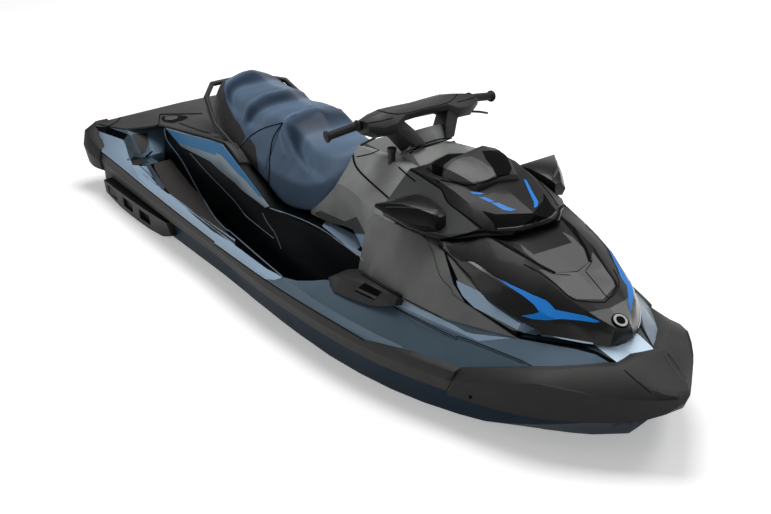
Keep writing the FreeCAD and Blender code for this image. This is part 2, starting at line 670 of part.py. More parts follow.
def boarding_step():
    """A folding step: two arms and a tread, stored upright against the stern."""
    pivot = at(*STEP_PIVOT)
    up = FreeCAD.Vector(0, 0, STEP_ARM)
    across = FreeCAD.Vector(0, STEP_HALF_WIDTH, 0)
    corners = [pivot - across, pivot - across + up, pivot + across + up, pivot + across]
    solid = rod(corners, STEP_RADIUS)
    for side in (-1, 1):
        half = FreeCAD.Vector(0, side * STEP_LUG_WIDTH / 2, 0)
        centre = pivot + across * side
        solid = solid.fuse(stub(centre - half, centre + half, STEP_LUG))
        solid = solid.cut(tube(centre - half - half, centre + half + half, STEP_PIN + STEP_PIN_GAP))
    return solid


def step_brackets():
    """Two cheeks at each end of the step, with the pin it swings on."""
    pivot = at(*STEP_PIVOT)
    wall = station_x(STEP_RECESS_SHARE)
    brackets = []
    for side in (-1, 1):
        centre = side * STEP_HALF_WIDTH
        near = centre - side * (STEP_LUG_WIDTH / 2 + STEP_PIN_GAP)
        far = centre + side * (STEP_LUG_WIDTH / 2 + STEP_PIN_GAP)
        cheeks = []
        for start, reach in ((near, -side * STEP_PIN), (far, side * STEP_PIN)):
            cheeks.append(
                block(pivot.x, wall, start, start + reach, pivot.z - STEP_LUG, pivot.z + STEP_LUG)
            )
            head = FreeCAD.Vector(pivot.x, start, pivot.z)
            cheeks.append(stub(head, head + FreeCAD.Vector(0, reach, 0), STEP_LUG))
        pin_start = FreeCAD.Vector(pivot.x, near - side * STEP_PIN, pivot.z)
        pin_end = FreeCAD.Vector(pivot.x, far + side * STEP_PIN, pivot.z)
        brackets.append(tube(pin_start, pin_end, STEP_PIN).fuse(cheeks))
    return brackets


BIN_X_SHARES = (0.261, 0.406)
BIN_HALF_WIDTH = 225.0
BIN_FLOOR_SHARE = 0.357
BIN_RIM_SHARE = 0.687
GUNWALE_INNER_SHARE = 0.574


def front_bin():
    """The storage bin: an open-topped liner."""
    outer = bin_space(0)
    inner = block(
        station_x(BIN_X_SHARES[0]) + LINER_WALL,
        station_x(BIN_X_SHARES[1]) - LINER_WALL,
        -BIN_HALF_WIDTH + LINER_WALL,
        BIN_HALF_WIDTH - LINER_WALL,
        level_z(BIN_FLOOR_SHARE) + LINER_WALL,
        level_z(BIN_RIM_SHARE) + OVERRUN,
    )
    return outer.cut(inner)


def bow_deck(footwells, pedestal_solid):
    solid = skin(BOW_SHARES).cut(footwells)
    return solid.cut([pedestal_solid, bin_space(0)])


# Rails and bumpers

def rub_rail(beside, side):
    rail = skin(RAIL_SHARES, side)
    rail = rail.cut(beside)
    front = station_x(RAIL_FRONT_SHARE)
    keep = block(-FAR, front, -FAR, FAR, -FAR, FAR)
    return largest(rail.common(keep))


def front_bumper(shell, bow):
    return skin(BUMPER_SHARES).cut([shell, bow])


STERN_BUMPER_SHARES = (
    (-1, (0.637, 0.321), (0.757, 0.321), (0.781, 0.375), (0.765, 0.429), (0.701, 0.446), (0.637, 0.446)),
    (-0.986, (0.637, 0.295), (0.805, 0.295), (0.845, 0.375), (0.829, 0.437), (0.733, 0.466), (0.637, 0.466)),
    (-0.951, (0.637, 0.29), (0.816, 0.29), (0.853, 0.357), (0.821, 0.406), (0.733, 0.42), (0.637, 0.42)),
    (-0.916, (0.637, 0.29), (0.797, 0.29), (0.821, 0.339), (0.81, 0.384), (0.733, 0.393), (0.637, 0.393)),
)


def stern_bumper(beside, side):
    return largest(skin(STERN_BUMPER_SHARES, side).cut(beside))


# Upper works

def side_fairing(beside, side):
    return largest(skin(FAIRING_SHARES, side).cut(beside))


def console(outer, spaces):
    solid = outer
    for space in spaces:
        solid = solid.cut(space)
    return solid.cut(glovebox_space()).fuse(glovebox_pins())


GLOVEBOX_X_SHARES = (-0.029, 0.052)
GLOVEBOX_HALF_WIDTH = 95.0
GLOVEBOX_FLOOR_SHARE = 0.625
GLOVEBOX_LID_SHARE = 0.775
GLOVEBOX_LID_THICKNESS = 14.0
GLOVEBOX_RECESS = 20.0
GLOVEBOX_PIN = 3.0
GLOVEBOX_PIN_GAP = 0.2
GLOVEBOX_PIN_LENGTH = 16.0


def glovebox_space():
    rear, front = [station_x(share) for share in GLOVEBOX_X_SHARES]
    base = level_z(GLOVEBOX_LID_SHARE)
    pocket = block(
        rear, front, -GLOVEBOX_HALF_WIDTH, GLOVEBOX_HALF_WIDTH, level_z(GLOVEBOX_FLOOR_SHARE), base + FAR
    )
    frame = block(
        rear - GLOVEBOX_RECESS,
        front + GLOVEBOX_RECESS,
        -GLOVEBOX_HALF_WIDTH - GLOVEBOX_RECESS,
        GLOVEBOX_HALF_WIDTH + GLOVEBOX_RECESS,
        base - MOVING_GAP,
        base + FAR,
    )
    return pocket.fuse(frame)


def glovebox_hinge():
    """The middle of the glovebox lid's hinge line, inside the lid's forward edge."""
    knuckle = GLOVEBOX_LID_THICKNESS / 2
    margin = GLOVEBOX_RECESS - MOVING_GAP
    x = station_x(GLOVEBOX_X_SHARES[1]) + margin - knuckle
    return FreeCAD.Vector(x, 0, level_z(GLOVEBOX_LID_SHARE) + knuckle)


def glovebox_pins(gap=0):
    """The two pins that the glovebox lid turns on, or the holes for them."""
    wall = GLOVEBOX_HALF_WIDTH + GLOVEBOX_RECESS
    pins = []
    for side in (-1, 1):
        outer = glovebox_hinge() + FreeCAD.Vector(0, side * (wall + GLOVEBOX_PIN), 0)
        inner = glovebox_hinge() + FreeCAD.Vector(0, side * (wall - GLOVEBOX_PIN_LENGTH - gap), 0)
        pins.append(tube(outer, inner, GLOVEBOX_PIN + gap))
    return pins


def glovebox_lid():
    rear = station_x(GLOVEBOX_X_SHARES[0])
    base = level_z(GLOVEBOX_LID_SHARE)
    margin = GLOVEBOX_RECESS - MOVING_GAP
    half = GLOVEBOX_HALF_WIDTH + margin
    hinge = glovebox_hinge()
    lid = block(rear - margin, hinge.x, -half, half, base, base + GLOVEBOX_LID_THICKNESS)
    across = FreeCAD.Vector(0, half, 0)
    knuckle = stub(hinge - across, hinge + across, GLOVEBOX_LID_THICKNESS / 2)
    return lid.fuse(knuckle).cut(glovebox_pins(GLOVEBOX_PIN_GAP))


def hood(lid_space, bow):
    return skin(HOOD_SHARES).cut([lid_space, bow])


def lid_space(grow):
    """The space that the storage lid fills, let out all round by the gap it moves in."""
    solid = skin(LID_SHARES, 0, grow)
    dropped = moved(solid, FreeCAD.Vector(0, 0, -grow))
    ahead = moved(solid, FreeCAD.Vector(grow, 0, 0))
    behind = moved(solid, FreeCAD.Vector(-grow, 0, 0))
    if grow == 0:
        return solid
    return solid.fuse([dropped, ahead, behind])


def storage_lid():
    outer = skin(LID_SHARES)
    hollow = moved(skin(LID_SHARES, 0, -LID_WALL), FreeCAD.Vector(0, 0, -LID_TOP_WALL))
    front = station_x(LID_SHARES[-1][0]) - LID_NOSE_WALL
    rear = station_x(LID_SHARES[0][0]) + LID_WALL
    keep = block(rear, front, -FAR, FAR, -FAR, FAR)
    return outer.cut(hollow.common(keep))


# Storage lid fittings

GAUGE_SHARES = (
    (0.232, (0, 0.804), (0.239, 0.804), (0.231, 0.835), (0.135, 0.848), (0, 0.844)),
    (0.267, (0, 0.804), (0.263, 0.804), (0.239, 0.868), (0.135, 0.891), (0, 0.879)),
    (0.313, (0, 0.804), (0.255, 0.804), (0.22, 0.868), (0.127, 0.888), (0, 0.884)),
    (0.383, (0, 0.804), (0.191, 0.804), (0.159, 0.839), (0.08, 0.853), (0, 0.857)),
)

MIRROR_SHARES = (
    (0.278, (0.406, 0.714), (0.574, 0.728), (0.717, 0.78), (0.709, 0.791), (0.406, 0.786)),
    (0.325, (0.406, 0.714), (0.566, 0.714), (0.661, 0.757), (0.606, 0.801), (0.406, 0.797)),
    (0.371, (0.414, 0.719), (0.526, 0.714), (0.577, 0.746), (0.534, 0.792), (0.414, 0.793)),
    (0.4, (0.43, 0.737), (0.494, 0.728), (0.518, 0.75), (0.478, 0.777), (0.43, 0.779)),
)


def gauge(lid):
    return skin(GAUGE_SHARES).cut(lid)


def mirror(lid, side):
    return skin(MIRROR_SHARES, side).cut(lid)


# Seats

def seat(table, pedestal_solid, cut_by):
    solid = skin(table).cut(moved(pedestal_solid, FreeCAD.Vector(0, 0, SEAT_GAP)))
    for other in cut_by:
        solid = solid.cut(other)
    return solid


# Steering

STEER_POINT = at(STEER_X_SHARE, 0, STEER_Z_SHARE)
STEER_TURN = FreeCAD.Rotation(FreeCAD.Vector(0, 1, 0), -STEER_TILT)
STEER_FRAME = FreeCAD.Placement(STEER_POINT, STEER_TURN)

NECK_BASE_SHARES = (
    (-0.134, (-0.121, -0.239), (0.129, -0.247), (0.165, 0), (0.129, 0.247), (-0.121, 0.239)),
    (-0.004, (-0.076, -0.151), (0.004, -0.172), (0.046, 0), (0.004, 0.172), (-0.076, 0.151)),
)
NECK_COVER_SHARES = (
    (0.004, (-0.076, -0.151), (0.004, -0.172), (0.046, 0), (0.004, 0.172), (-0.076, 0.151)),
    (0.066, (-0.071, -0.112), (-0.004, -0.135), (0.025, 0), (-0.004, 0.135), (-0.071, 0.112)),
)


def steer_point(along, across, up):
    """A point in the steering column's own frame, from shares of the height, half-breadth and height."""
    local = FreeCAD.Vector(along * HEIGHT, across * HALF_BEAM, up * HEIGHT)
    return STEER_FRAME.multVec(local)


def steer_loft(table):
    outlines = []
    for level in table:
        outlines.append([steer_point(along, across, level[0]) for along, across in level[1:]])
    return stretched(outlines)


def column(gap=0):
    """The steering column, from the neck cover down into its base."""
    top = steer_point(0, 0, NECK_COVER_SHARES[0][0])
    foot = STEER_POINT - STEER_FRAME.Rotation.multVec(FreeCAD.Vector(0, 0, COLUMN_DEPTH + gap))
    return tube(foot, top, COLUMN_RADIUS + gap)


def neck_swing():
    """The space that the neck cover turns in."""
    corners = [math.hypot(along * HEIGHT, across * HALF_BEAM) for along, across in NECK_COVER_SHARES[0][1:]]
    foot = steer_point(0, 0, NECK_BASE_SHARES[-1][0])
    return tube(foot, steer_point(0, 0, 1), max(corners) + MOVING_GAP)


def above_lid():
    """The space over the storage lid, kept clear for it to open."""
    rear = station_x(LID_SHARES[0][0]) - MOVING_GAP
    low = level_z(LID_SHARES[0][1][1])
    return block(rear, FAR, -FAR, FAR, low, FAR)


def neck_base(lid_gap):
    return steer_loft(NECK_BASE_SHARES).cut([lid_gap, above_lid()])


POD_SHARES = (
    (0, (-0.094, 0.134), (-0.067, 0.114), (0.018, 0.111), (0.032, 0.127), (0.009, 0.161), (-0.058, 0.171)),
    (0.169, (-0.094, 0.134), (-0.067, 0.111), (0.02, 0.105), (0.034, 0.125), (0.011, 0.162), (-0.058, 0.174)),
    (0.242, (-0.089, 0.127), (-0.062, 0.079), (0.02, 0.071), (0.036, 0.103), (0.012, 0.159), (-0.055, 0.174)),
    (0.338, (-0.082, 0.125), (-0.058, 0.079), (0.016, 0.07), (0.032, 0.098), (0.009, 0.152), (-0.054, 0.166)),
    (0.433, (-0.071, 0.123), (-0.049, 0.102), (0.004, 0.1), (0.016, 0.116), (0, 0.141), (-0.049, 0.15)),
)
ARM_SHARES = (
    (0.009, (-0.062, 0.096), (0.036, 0.08), (0.031, 0.151), (-0.062, 0.163)),
    (0.066, (-0.062, 0.124), (0.027, 0.124), (0.021, 0.226), (-0.061, 0.223)),
    (0.116, (-0.059, 0.188), (0.02, 0.188), (0.018, 0.319), (-0.055, 0.316)),
)


def pod():
    """The padded cover over the middle of the bars, with its two arms down to the neck."""
    outlines = []
    for side in (-1, 1):
        for level in POD_SHARES if side == 1 else reversed(POD_SHARES[1:]):
            outlines.append([steer_point(along, side * level[0], up) for along, up in level[1:]])
    cover = stretched(outlines)
    arms = []
    for side in (-1, 1):
        levels = []
        for level in ARM_SHARES:
            levels.append([steer_point(along, side * across, level[0]) for along, across in level[1:]])
        arms.append(stretched(levels))
    return cover.fuse(arms)


BAR_SHARES = ((-0.039, 0.398, 0.136), (-0.069, 0.65, 0.124))
GRIP_START_SHARE = 0.15


def bar_points(side):
    return [steer_point(along, side * across, up) for along, across, up in BAR_SHARES]


def handlebar():
    """The bent bar tube."""
    return rod(bar_points(-1)[::-1] + bar_points(1), BAR_RADIUS)


def grip(side, beside):
    """A grip: a sleeve over the end of the bar, with a flange at each end."""
    bend, end = bar_points(side)
    start = bend + (end - bend) * GRIP_START_SHARE
    length = (end - start).Length
    profile = [
        (0, GRIP_FLANGE_RADIUS),
        (GRIP_FLANGE, GRIP_FLANGE_RADIUS),
        (GRIP_FLANGE * 2, GRIP_RADIUS),
        (length - GRIP_FLANGE, GRIP_RADIUS),
        (length, GRIP_FLANGE_RADIUS),
        (length + GRIP_FLANGE, GRIP_FLANGE_RADIUS),
    ]
    return turned(profile, start, end - start, ROD_SIDES).cut(beside)


LEVER_SHARES = (
    (0.004, 0.343, 0.085),
    (0.011, 0.422, 0.073),
    (-0.007, 0.507, 0.062),
)
LEVER_RADIUS = 5.5
LEVER_SIDES = 6


def lever(side, pod_solid):
    points = [steer_point(along, side * across, up) for along, across, up in LEVER_SHARES]
    return rod(points, LEVER_RADIUS, LEVER_SIDES).cut(pod_solid)


# Jet pump

PUMP_X_SHARES = (-0.638, -0.777, -0.829)
IMPELLER_X_SHARES = (-0.655, -0.696)
NOZZLE_X_SHARES = (-0.85, -0.919)
NOZZLE_PIVOT_SHARE = -0.864
BUCKET_PIVOT_SHARE = -0.841
BUCKET_TOP_GAP = 9.0
BUCKET_REACH = level_z(TUNNEL_TOP_SHARE) - PUMP_Z - BUCKET_TOP_GAP
BUCKET_HALF_WIDTH = 122.0
BUCKET_SPAN = 62.0
BUCKET_STOWED = 78.0
BUCKET_STEPS = 8
BUCKET_HUB = 22.0
BUCKET_PIN = 6.0
PIN_GAP = 0.1
LUG_HALF_WIDTH = 14.0
LUG_THICKNESS = 10.0
LUG_X_SHARES = (-0.872, -0.783)


def pump_housing():
    front, shoulder, rear = [station_x(share) for share in PUMP_X_SHARES]
    outer_front = PUMP_BORE + PUMP_WALL
    outer_rear = NOZZLE_BORE + NOZZLE_WALL
    outer = turned_profile(
        [(front, outer_front), (shoulder, outer_front), (rear, outer_rear)], PUMP_Z
    )
    inner = turned_profile(
        [
            (front + OVERRUN, PUMP_BORE),
            (shoulder, PUMP_BORE),
            (rear, NOZZLE_BORE),
            (rear - OVERRUN, NOZZLE_BORE),
        ],
        PUMP_Z,
    )
    shell = outer.cut(inner)
    core_front = station_x(IMPELLER_X_SHARES[1]) - MOVING_GAP
    core = turned_profile([(core_front, HUB_RADIUS), (shoulder, HUB_RADIUS), (rear, TAIL_RADIUS)], PUMP_Z)
    parts = [core.cut(impeller_tail(TAIL_GAP))]
    for index in range(VANE_COUNT):
        vane = block(
            core_front - TAIL_LENGTH,
            shoulder,
            -BLADE_THICKNESS / 2,
            BLADE_THICKNESS / 2,
            PUMP_Z + (HUB_RADIUS + TAIL_RADIUS) / 2,
            PUMP_Z + PUMP_BORE + PUMP_WALL / 2,
        )
        vane.rotate(FreeCAD.Vector(0, 0, PUMP_Z), FreeCAD.Vector(1, 0, 0), 360 * index / VANE_COUNT)
        parts.append(vane)
    ears = pump_ears()
    return shell.fuse(parts + ears)


EAR_LENGTH = 36.0
EAR_RADIUS = 15.0


def pump_ears():
    """The bosses and pins that carry the reverse bucket, and the lugs and pins that carry the nozzle."""
    pivot_x = station_x(BUCKET_PIVOT_SHARE)
    boss_end = BUCKET_HALF_WIDTH - BUCKET_WALL - MOVING_GAP
    neck_x = station_x(PUMP_X_SHARES[1])
    parts = []
    for side in (-1, 1):
        inner = FreeCAD.Vector(pivot_x, side * boss_end, PUMP_Z)
        arm_inner = side * (PUMP_BORE + PUMP_WALL)
        in_wall = side * (PUMP_BORE + PUMP_WALL / 2)
        low = PUMP_Z - EAR_RADIUS
        top = PUMP_Z + EAR_RADIUS
        parts.append(block(pivot_x, neck_x + EAR_LENGTH, arm_inner, side * boss_end, low, top))
        parts.append(block(neck_x, neck_x + EAR_LENGTH, in_wall, arm_inner, low, top))
        parts.append(stub(inner, FreeCAD.Vector(pivot_x, arm_inner, PUMP_Z), EAR_RADIUS))
        parts.append(tube(inner, FreeCAD.Vector(pivot_x, side * BUCKET_HALF_WIDTH, PUMP_Z), BUCKET_PIN))
    rear, front = [station_x(share) for share in LUG_X_SHARES]
    lug_low = NOZZLE_BELL + NOZZLE_WALL + MOVING_GAP
    pivot = station_x(NOZZLE_PIVOT_SHARE)
    for side in (-1, 1):
        low = PUMP_Z + side * lug_low
        parts.append(block(rear, front, -LUG_HALF_WIDTH, LUG_HALF_WIDTH, low, low + side * LUG_THICKNESS))
        head = FreeCAD.Vector(pivot, 0, low + side * LUG_THICKNESS)
        foot = FreeCAD.Vector(pivot, 0, PUMP_Z + side * (NOZZLE_BORE + NOZZLE_WALL))
        parts.append(tube(foot, head, BUCKET_PIN))
    return parts


def impeller_tail(gap=0):
    """The end of the impeller's shaft, in the bearing of the pump's core."""
    start = FreeCAD.Vector(station_x(IMPELLER_X_SHARES[1]), 0, PUMP_Z)
    return tube(start, start - FreeCAD.Vector(TAIL_LENGTH + gap, 0, 0), TAIL_RADIUS + gap)


def impeller():
    front, rear = [station_x(share) for share in IMPELLER_X_SHARES]
    tip = PUMP_BORE - IMPELLER_CLEARANCE
    engine_rear = station_x(ENGINE_X_SHARES[0]) - MOVING_GAP
    hub = turned_profile(
        [(engine_rear, SHAFT_RADIUS), (front, SHAFT_RADIUS), (rear, HUB_RADIUS)],
        PUMP_Z,
    )
    blades = []
    for index in range(BLADE_COUNT):
        blade = helical_blade(front, rear, tip)
        blade.rotate(FreeCAD.Vector(0, 0, PUMP_Z), FreeCAD.Vector(1, 0, 0), 360 * index / BLADE_COUNT)
        blades.append(blade)
    return hub.fuse(blades + [impeller_tail()])


BLADE_SWEEP = 75.0
BLADE_STEPS = 5


def helical_blade(front, rear, tip):
    """One blade: a radial strip swept back round the hub."""
    sections = []
    for index in range(BLADE_STEPS):
        share = index / (BLADE_STEPS - 1)
        x = front + (rear - front) * share
        angle = math.radians(BLADE_SWEEP) * share
        half = BLADE_THICKNESS / 2
        root = SHAFT_RADIUS - half
        up = FreeCAD.Vector(0, -math.sin(angle), math.cos(angle))
        across = FreeCAD.Vector(0, math.cos(angle), math.sin(angle))
        base = FreeCAD.Vector(x, 0, PUMP_Z)
        sections.append(
            [
                base + up * root - across * half,
                base + up * root + across * half,
                base + up * tip + across * half,
                base + up * tip - across * half,
            ]
        )
    return stretched(sections)


def steering_nozzle():
    front, rear = [station_x(share) for share in NOZZLE_X_SHARES]
    outer = turned_profile(
        [(front, NOZZLE_BELL + NOZZLE_WALL), (rear, NOZZLE_BORE + NOZZLE_WALL)], PUMP_Z
    )
    inner = turned_profile(
        [
            (front + OVERRUN, NOZZLE_BELL),
            (front, NOZZLE_BELL),
            (rear, NOZZLE_BORE),
            (rear - OVERRUN, NOZZLE_BORE),
        ],
        PUMP_Z,
    )
    pivot = station_x(NOZZLE_PIVOT_SHARE)
    low = FreeCAD.Vector(pivot, 0, PUMP_Z - FAR)
    high = FreeCAD.Vector(pivot, 0, PUMP_Z + FAR)
    return outer.cut([inner, tube(low, high, BUCKET_PIN + PIN_GAP)])


def sector(inner, outer, start_y, end_y):
    """Part of a drum about the bucket's pivot, from the stored position's lower edge to its upper edge."""
    pivot = FreeCAD.Vector(station_x(BUCKET_PIVOT_SHARE), start_y, PUMP_Z)
    points = []
    for radius, order in ((outer, 1), (inner, -1)):
        arc = []
        for index in range(BUCKET_STEPS + 1):
            angle = math.radians(BUCKET_STOWED - BUCKET_SPAN / 2 + BUCKET_SPAN * index / BUCKET_STEPS)
            arc.append(pivot + FreeCAD.Vector(-math.cos(angle) * radius, 0, math.sin(angle) * radius))
        points += arc[::order]
    return prism(points, FreeCAD.Vector(0, end_y - start_y, 0))


def reverse_bucket():
    """A scoop that swings down on the pump's pins to cover the nozzle; stored raised."""
    width = BUCKET_HALF_WIDTH
    parts = [sector(BUCKET_REACH - BUCKET_WALL, BUCKET_REACH, -width, width)]
    for side in (-1, 1):
        inner = side * (width - BUCKET_WALL)
        parts.append(sector(BUCKET_HUB / 2, BUCKET_REACH, inner, side * width))
        start = FreeCAD.Vector(station_x(BUCKET_PIVOT_SHARE), inner, PUMP_Z)
        end = FreeCAD.Vector(station_x(BUCKET_PIVOT_SHARE), side * width, PUMP_Z)
        parts.append(stub(start, end, BUCKET_HUB))
    low = FreeCAD.Vector(station_x(BUCKET_PIVOT_SHARE), -FAR, PUMP_Z)
    high = FreeCAD.Vector(station_x(BUCKET_PIVOT_SHARE), FAR, PUMP_Z)
    return parts[0].fuse(parts[1:]).cut(tube(low, high, BUCKET_PIN + PIN_GAP))


def intake_grate():
    """Bars along the intake, on a cross-bar at each end."""
    front = station_x(INTAKE_X_SHARES[1])
    rear = station_x(INTAKE_X_SHARES[0])
    level = -DRAFT + GRATE_THICKNESS
    top = level + GRATE_THICKNESS
    parts = []
    for index in range(GRATE_BARS):
        y = -INTAKE_HALF_WIDTH + 2 * INTAKE_HALF_WIDTH * (index + 0.5) / GRATE_BARS
        parts.append(block(rear, front, y - GRATE_BAR / 2, y + GRATE_BAR / 2, level, top))
    for x in (rear, front - GRATE_END):
        parts.append(block(x, x + GRATE_END, -INTAKE_HALF_WIDTH, INTAKE_HALF_WIDTH, level, top))
    return parts[0].fuse(parts[1:])


RIDE_PLATE_X_SHARES = (-0.899, -0.591)
RIDE_PLATE_THICKNESS = 10.0
RIDE_PLATE_LIFT = 4.0


def ride_plate():
    rear, front = [station_x(share) for share in RIDE_PLATE_X_SHARES]
    reach = PUMP_BORE + PUMP_WALL + TUNNEL_CLEARANCE
    low = -DRAFT + RIDE_PLATE_LIFT
    return block(rear, front, -reach, reach, low, low + RIDE_PLATE_THICKNESS)


# Assembly

def save(name, shape):
    shape.exportStep(os.path.join("parts", name + ".step"))


def build():
    pieces = {}
    shell = skin(SHELL_SHARES)
    well_port = skin(FOOTWELL_SHARES, 1)
    wells = {1: well_port, -1: mirrored(well_port)}
    both_wells = [wells[1], wells[-1]]
    pedestal_outer = skin(PEDESTAL_SHARES)
    bow_outer = skin(BOW_SHARES)
    stern_outer = skin(STERN_SHARES)
    console_outer = skin(CONSOLE_SHARES)
    hood_outer = skin(HOOD_SHARES)
    lid_outer = skin(LID_SHARES)
    lid_gap = lid_space(MOVING_GAP)
    seat_space = skin(SEAT_FRONT_SHARES, 0, SEAT_GAP).fuse(skin(SEAT_REAR_SHARES, 0, SEAT_GAP))

    grate = intake_grate()
    plate = ride_plate()
    bin_block = bin_space(0)

    pieces["hull"] = hull(shell, both_wells, pedestal_outer, [grate, plate])
    pieces["engine"] = engine_block()
    pieces["pedestal"] = pedestal(engine_block(ENGINE_CLEARANCE))
    pieces["stern_deck"] = stern_deck(both_wells)
    pieces["bow_deck"] = bow_deck(both_wells, pedestal_outer)
    pieces["front_bin"] = front_bin()
    pieces["front_bumper"] = front_bumper(shell, bow_outer)
    pieces["platform_cover"] = platform_cover(stern_outer, pedestal_outer, seat_space)
    pieces["hood"] = hood(lid_gap, bow_outer)
    neck = neck_base(lid_gap)
    around_console = [bow_outer, pedestal_outer, seat_space, lid_gap, bin_block, neck, neck_swing()]
    pieces["console"] = console(console_outer, around_console)
    pieces["neck_base"] = neck.cut(column(COLUMN_GAP))
    pieces["key_post"] = key_post(console_outer)
    pieces["seat_front"] = seat(SEAT_FRONT_SHARES, pedestal_outer, [])
    pieces["seat_rear"] = seat(SEAT_REAR_SHARES, pedestal_outer, [])
    pieces["grab_handle"] = grab_handle(pieces["platform_cover"])

    pieces["storage_lid"] = storage_lid()
    pieces["gauge"] = gauge(lid_outer)
    pieces["glovebox_lid"] = glovebox_lid()

    bar = handlebar()
    neck_top = steer_loft(NECK_COVER_SHARES).fuse(column())
    pod_solid = pod().cut([bar, neck_top])
    pieces["neck_cover"] = neck_top
    pieces["handlebar"] = bar
    pieces["pod"] = pod_solid

    pieces["pump_housing"] = pump_housing()
    pieces["impeller"] = impeller()
    pieces["steering_nozzle"] = steering_nozzle()
    pieces["reverse_bucket"] = reverse_bucket()
    pieces["intake_grate"] = grate
    pieces["ride_plate"] = plate
    pieces["boarding_step"] = boarding_step()
    pieces["step_brackets"] = Part.makeCompound(step_brackets())
    pieces["bow_eye"] = eye(at(*BOW_EYE), FreeCAD.Vector(*BOW_EYE_INWARD)).cut(shell)

    panels = []
    bumpers = []
    mirrors = []
    grips = []
    levers = []
    vents = []
    mats = []
    sponsons = []
    eyes = []
    for name, side in SIDES.items():
        rail = rub_rail([shell, bow_outer, stern_outer, wells[side], pieces["front_bumper"]], side)
        fairing = side_fairing([console_outer, hood_outer, lid_gap, bow_outer, bin_block], side)
        pieces["gunwale_" + name] = gunwale(shell, both_wells, side)
        pieces["rub_rail_" + name] = rail
        pieces["side_fairing_" + name] = fairing
        bumpers.append(stern_bumper([shell, stern_outer, rail, pieces["platform_cover"]], side))
        mirrors.append(mirror(lid_outer, side))
        grips.append(grip(side, [bar, pod_solid]))
        levers.append(lever(side, pod_solid))
        panels.append(accent_panel(pedestal_outer, pieces["platform_cover"], side))
        vents.append(vent(bow_outer, fairing, console_outer, side))
        mats.append(footwell_mat(wells[side], pedestal_outer, side))
        sponsons.append(sponson(shell, rail, side))
        x_share, y_share, z_share = STERN_EYE
        eyes.append(eye(at(x_share, side * y_share, z_share), FreeCAD.Vector(1, 0, 0)).cut(shell))
    pieces["accent_panels"] = Part.makeCompound(panels)
    pieces["stern_bumpers"] = Part.makeCompound(bumpers)
    pieces["mirrors"] = Part.makeCompound(mirrors)
    pieces["grips"] = Part.makeCompound(grips)
    pieces["levers"] = Part.makeCompound(levers)
    pieces["deck_vents"] = Part.makeCompound(vents)
    pieces["footwell_mats"] = Part.makeCompound(mats)
    pieces["sponsons"] = Part.makeCompound(sponsons)
    pieces["stern_eyes"] = Part.makeCompound(eyes)
    return pieces


def main():
    os.makedirs("parts", exist_ok=True)
    for name, shape in build().items():
        save(name, shape)


main()
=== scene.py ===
import json
import math

import bmesh
import bpy
import numpy as np
from mathutils import Matrix, Vector
from mathutils.bvhtree import BVHTree

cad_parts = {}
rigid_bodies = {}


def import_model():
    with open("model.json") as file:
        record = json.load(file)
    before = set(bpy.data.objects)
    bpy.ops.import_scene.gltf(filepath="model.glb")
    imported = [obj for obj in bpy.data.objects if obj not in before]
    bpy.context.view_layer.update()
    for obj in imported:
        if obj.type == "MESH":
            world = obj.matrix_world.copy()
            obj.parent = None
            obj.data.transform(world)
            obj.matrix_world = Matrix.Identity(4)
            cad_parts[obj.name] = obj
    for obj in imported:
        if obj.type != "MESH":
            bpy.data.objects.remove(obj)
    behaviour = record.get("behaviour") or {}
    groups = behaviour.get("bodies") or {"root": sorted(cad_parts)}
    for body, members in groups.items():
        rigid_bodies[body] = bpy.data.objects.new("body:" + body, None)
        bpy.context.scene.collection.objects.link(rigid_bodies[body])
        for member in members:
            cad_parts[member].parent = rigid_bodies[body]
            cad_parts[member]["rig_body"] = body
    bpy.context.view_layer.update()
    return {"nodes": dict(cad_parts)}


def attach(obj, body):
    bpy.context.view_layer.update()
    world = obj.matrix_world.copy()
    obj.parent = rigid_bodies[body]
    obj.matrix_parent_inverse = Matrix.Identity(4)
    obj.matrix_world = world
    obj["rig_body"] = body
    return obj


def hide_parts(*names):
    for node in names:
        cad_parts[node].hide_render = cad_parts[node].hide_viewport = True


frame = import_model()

NODES = frame["nodes"]
BODY_OF = {name: obj["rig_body"] for name, obj in NODES.items()}
HULL = "hull_and_deck"
LID = "front_lid"
BARS = "handlebars"

# Camera of the photograph

WIDTH, HEIGHT = 771, 514
CAMERA_AT = Vector((5.9074, -4.4599, 3.6063))
CAMERA_YAW, CAMERA_PITCH, CAMERA_ROLL = 2.4985, -0.4374, 0.0203
FOCAL_PIXELS = 1950.93
SENSOR_WIDTH = 36.0
FARTHEST_SEEN = 100


def camera_axes():
    """The directions to the right of, above and ahead of the camera."""
    ahead = Vector(
        (
            math.cos(CAMERA_PITCH) * math.cos(CAMERA_YAW),
            math.cos(CAMERA_PITCH) * math.sin(CAMERA_YAW),
            math.sin(CAMERA_PITCH),
        )
    )
    right = Vector((math.sin(CAMERA_YAW), -math.cos(CAMERA_YAW), 0))
    up = right.cross(ahead)
    c, s = math.cos(CAMERA_ROLL), math.sin(CAMERA_ROLL)
    return right * c + up * s, up * c - right * s, ahead


RIGHT, UP, AHEAD = camera_axes()


def ray(u, v):
    """The direction in which the camera sees a pixel of the photograph."""
    across = (u - WIDTH / 2) / FOCAL_PIXELS
    down = (v - HEIGHT / 2) / FOCAL_PIXELS
    return (AHEAD + RIGHT * across - UP * down).normalized()


def seen_at(point):
    """The pixel of the photograph at which the camera sees a point."""
    local = point - CAMERA_AT
    depth = local.dot(AHEAD)
    across = local.dot(RIGHT) / depth
    up = local.dot(UP) / depth
    return WIDTH / 2 + FOCAL_PIXELS * across, HEIGHT / 2 - FOCAL_PIXELS * up


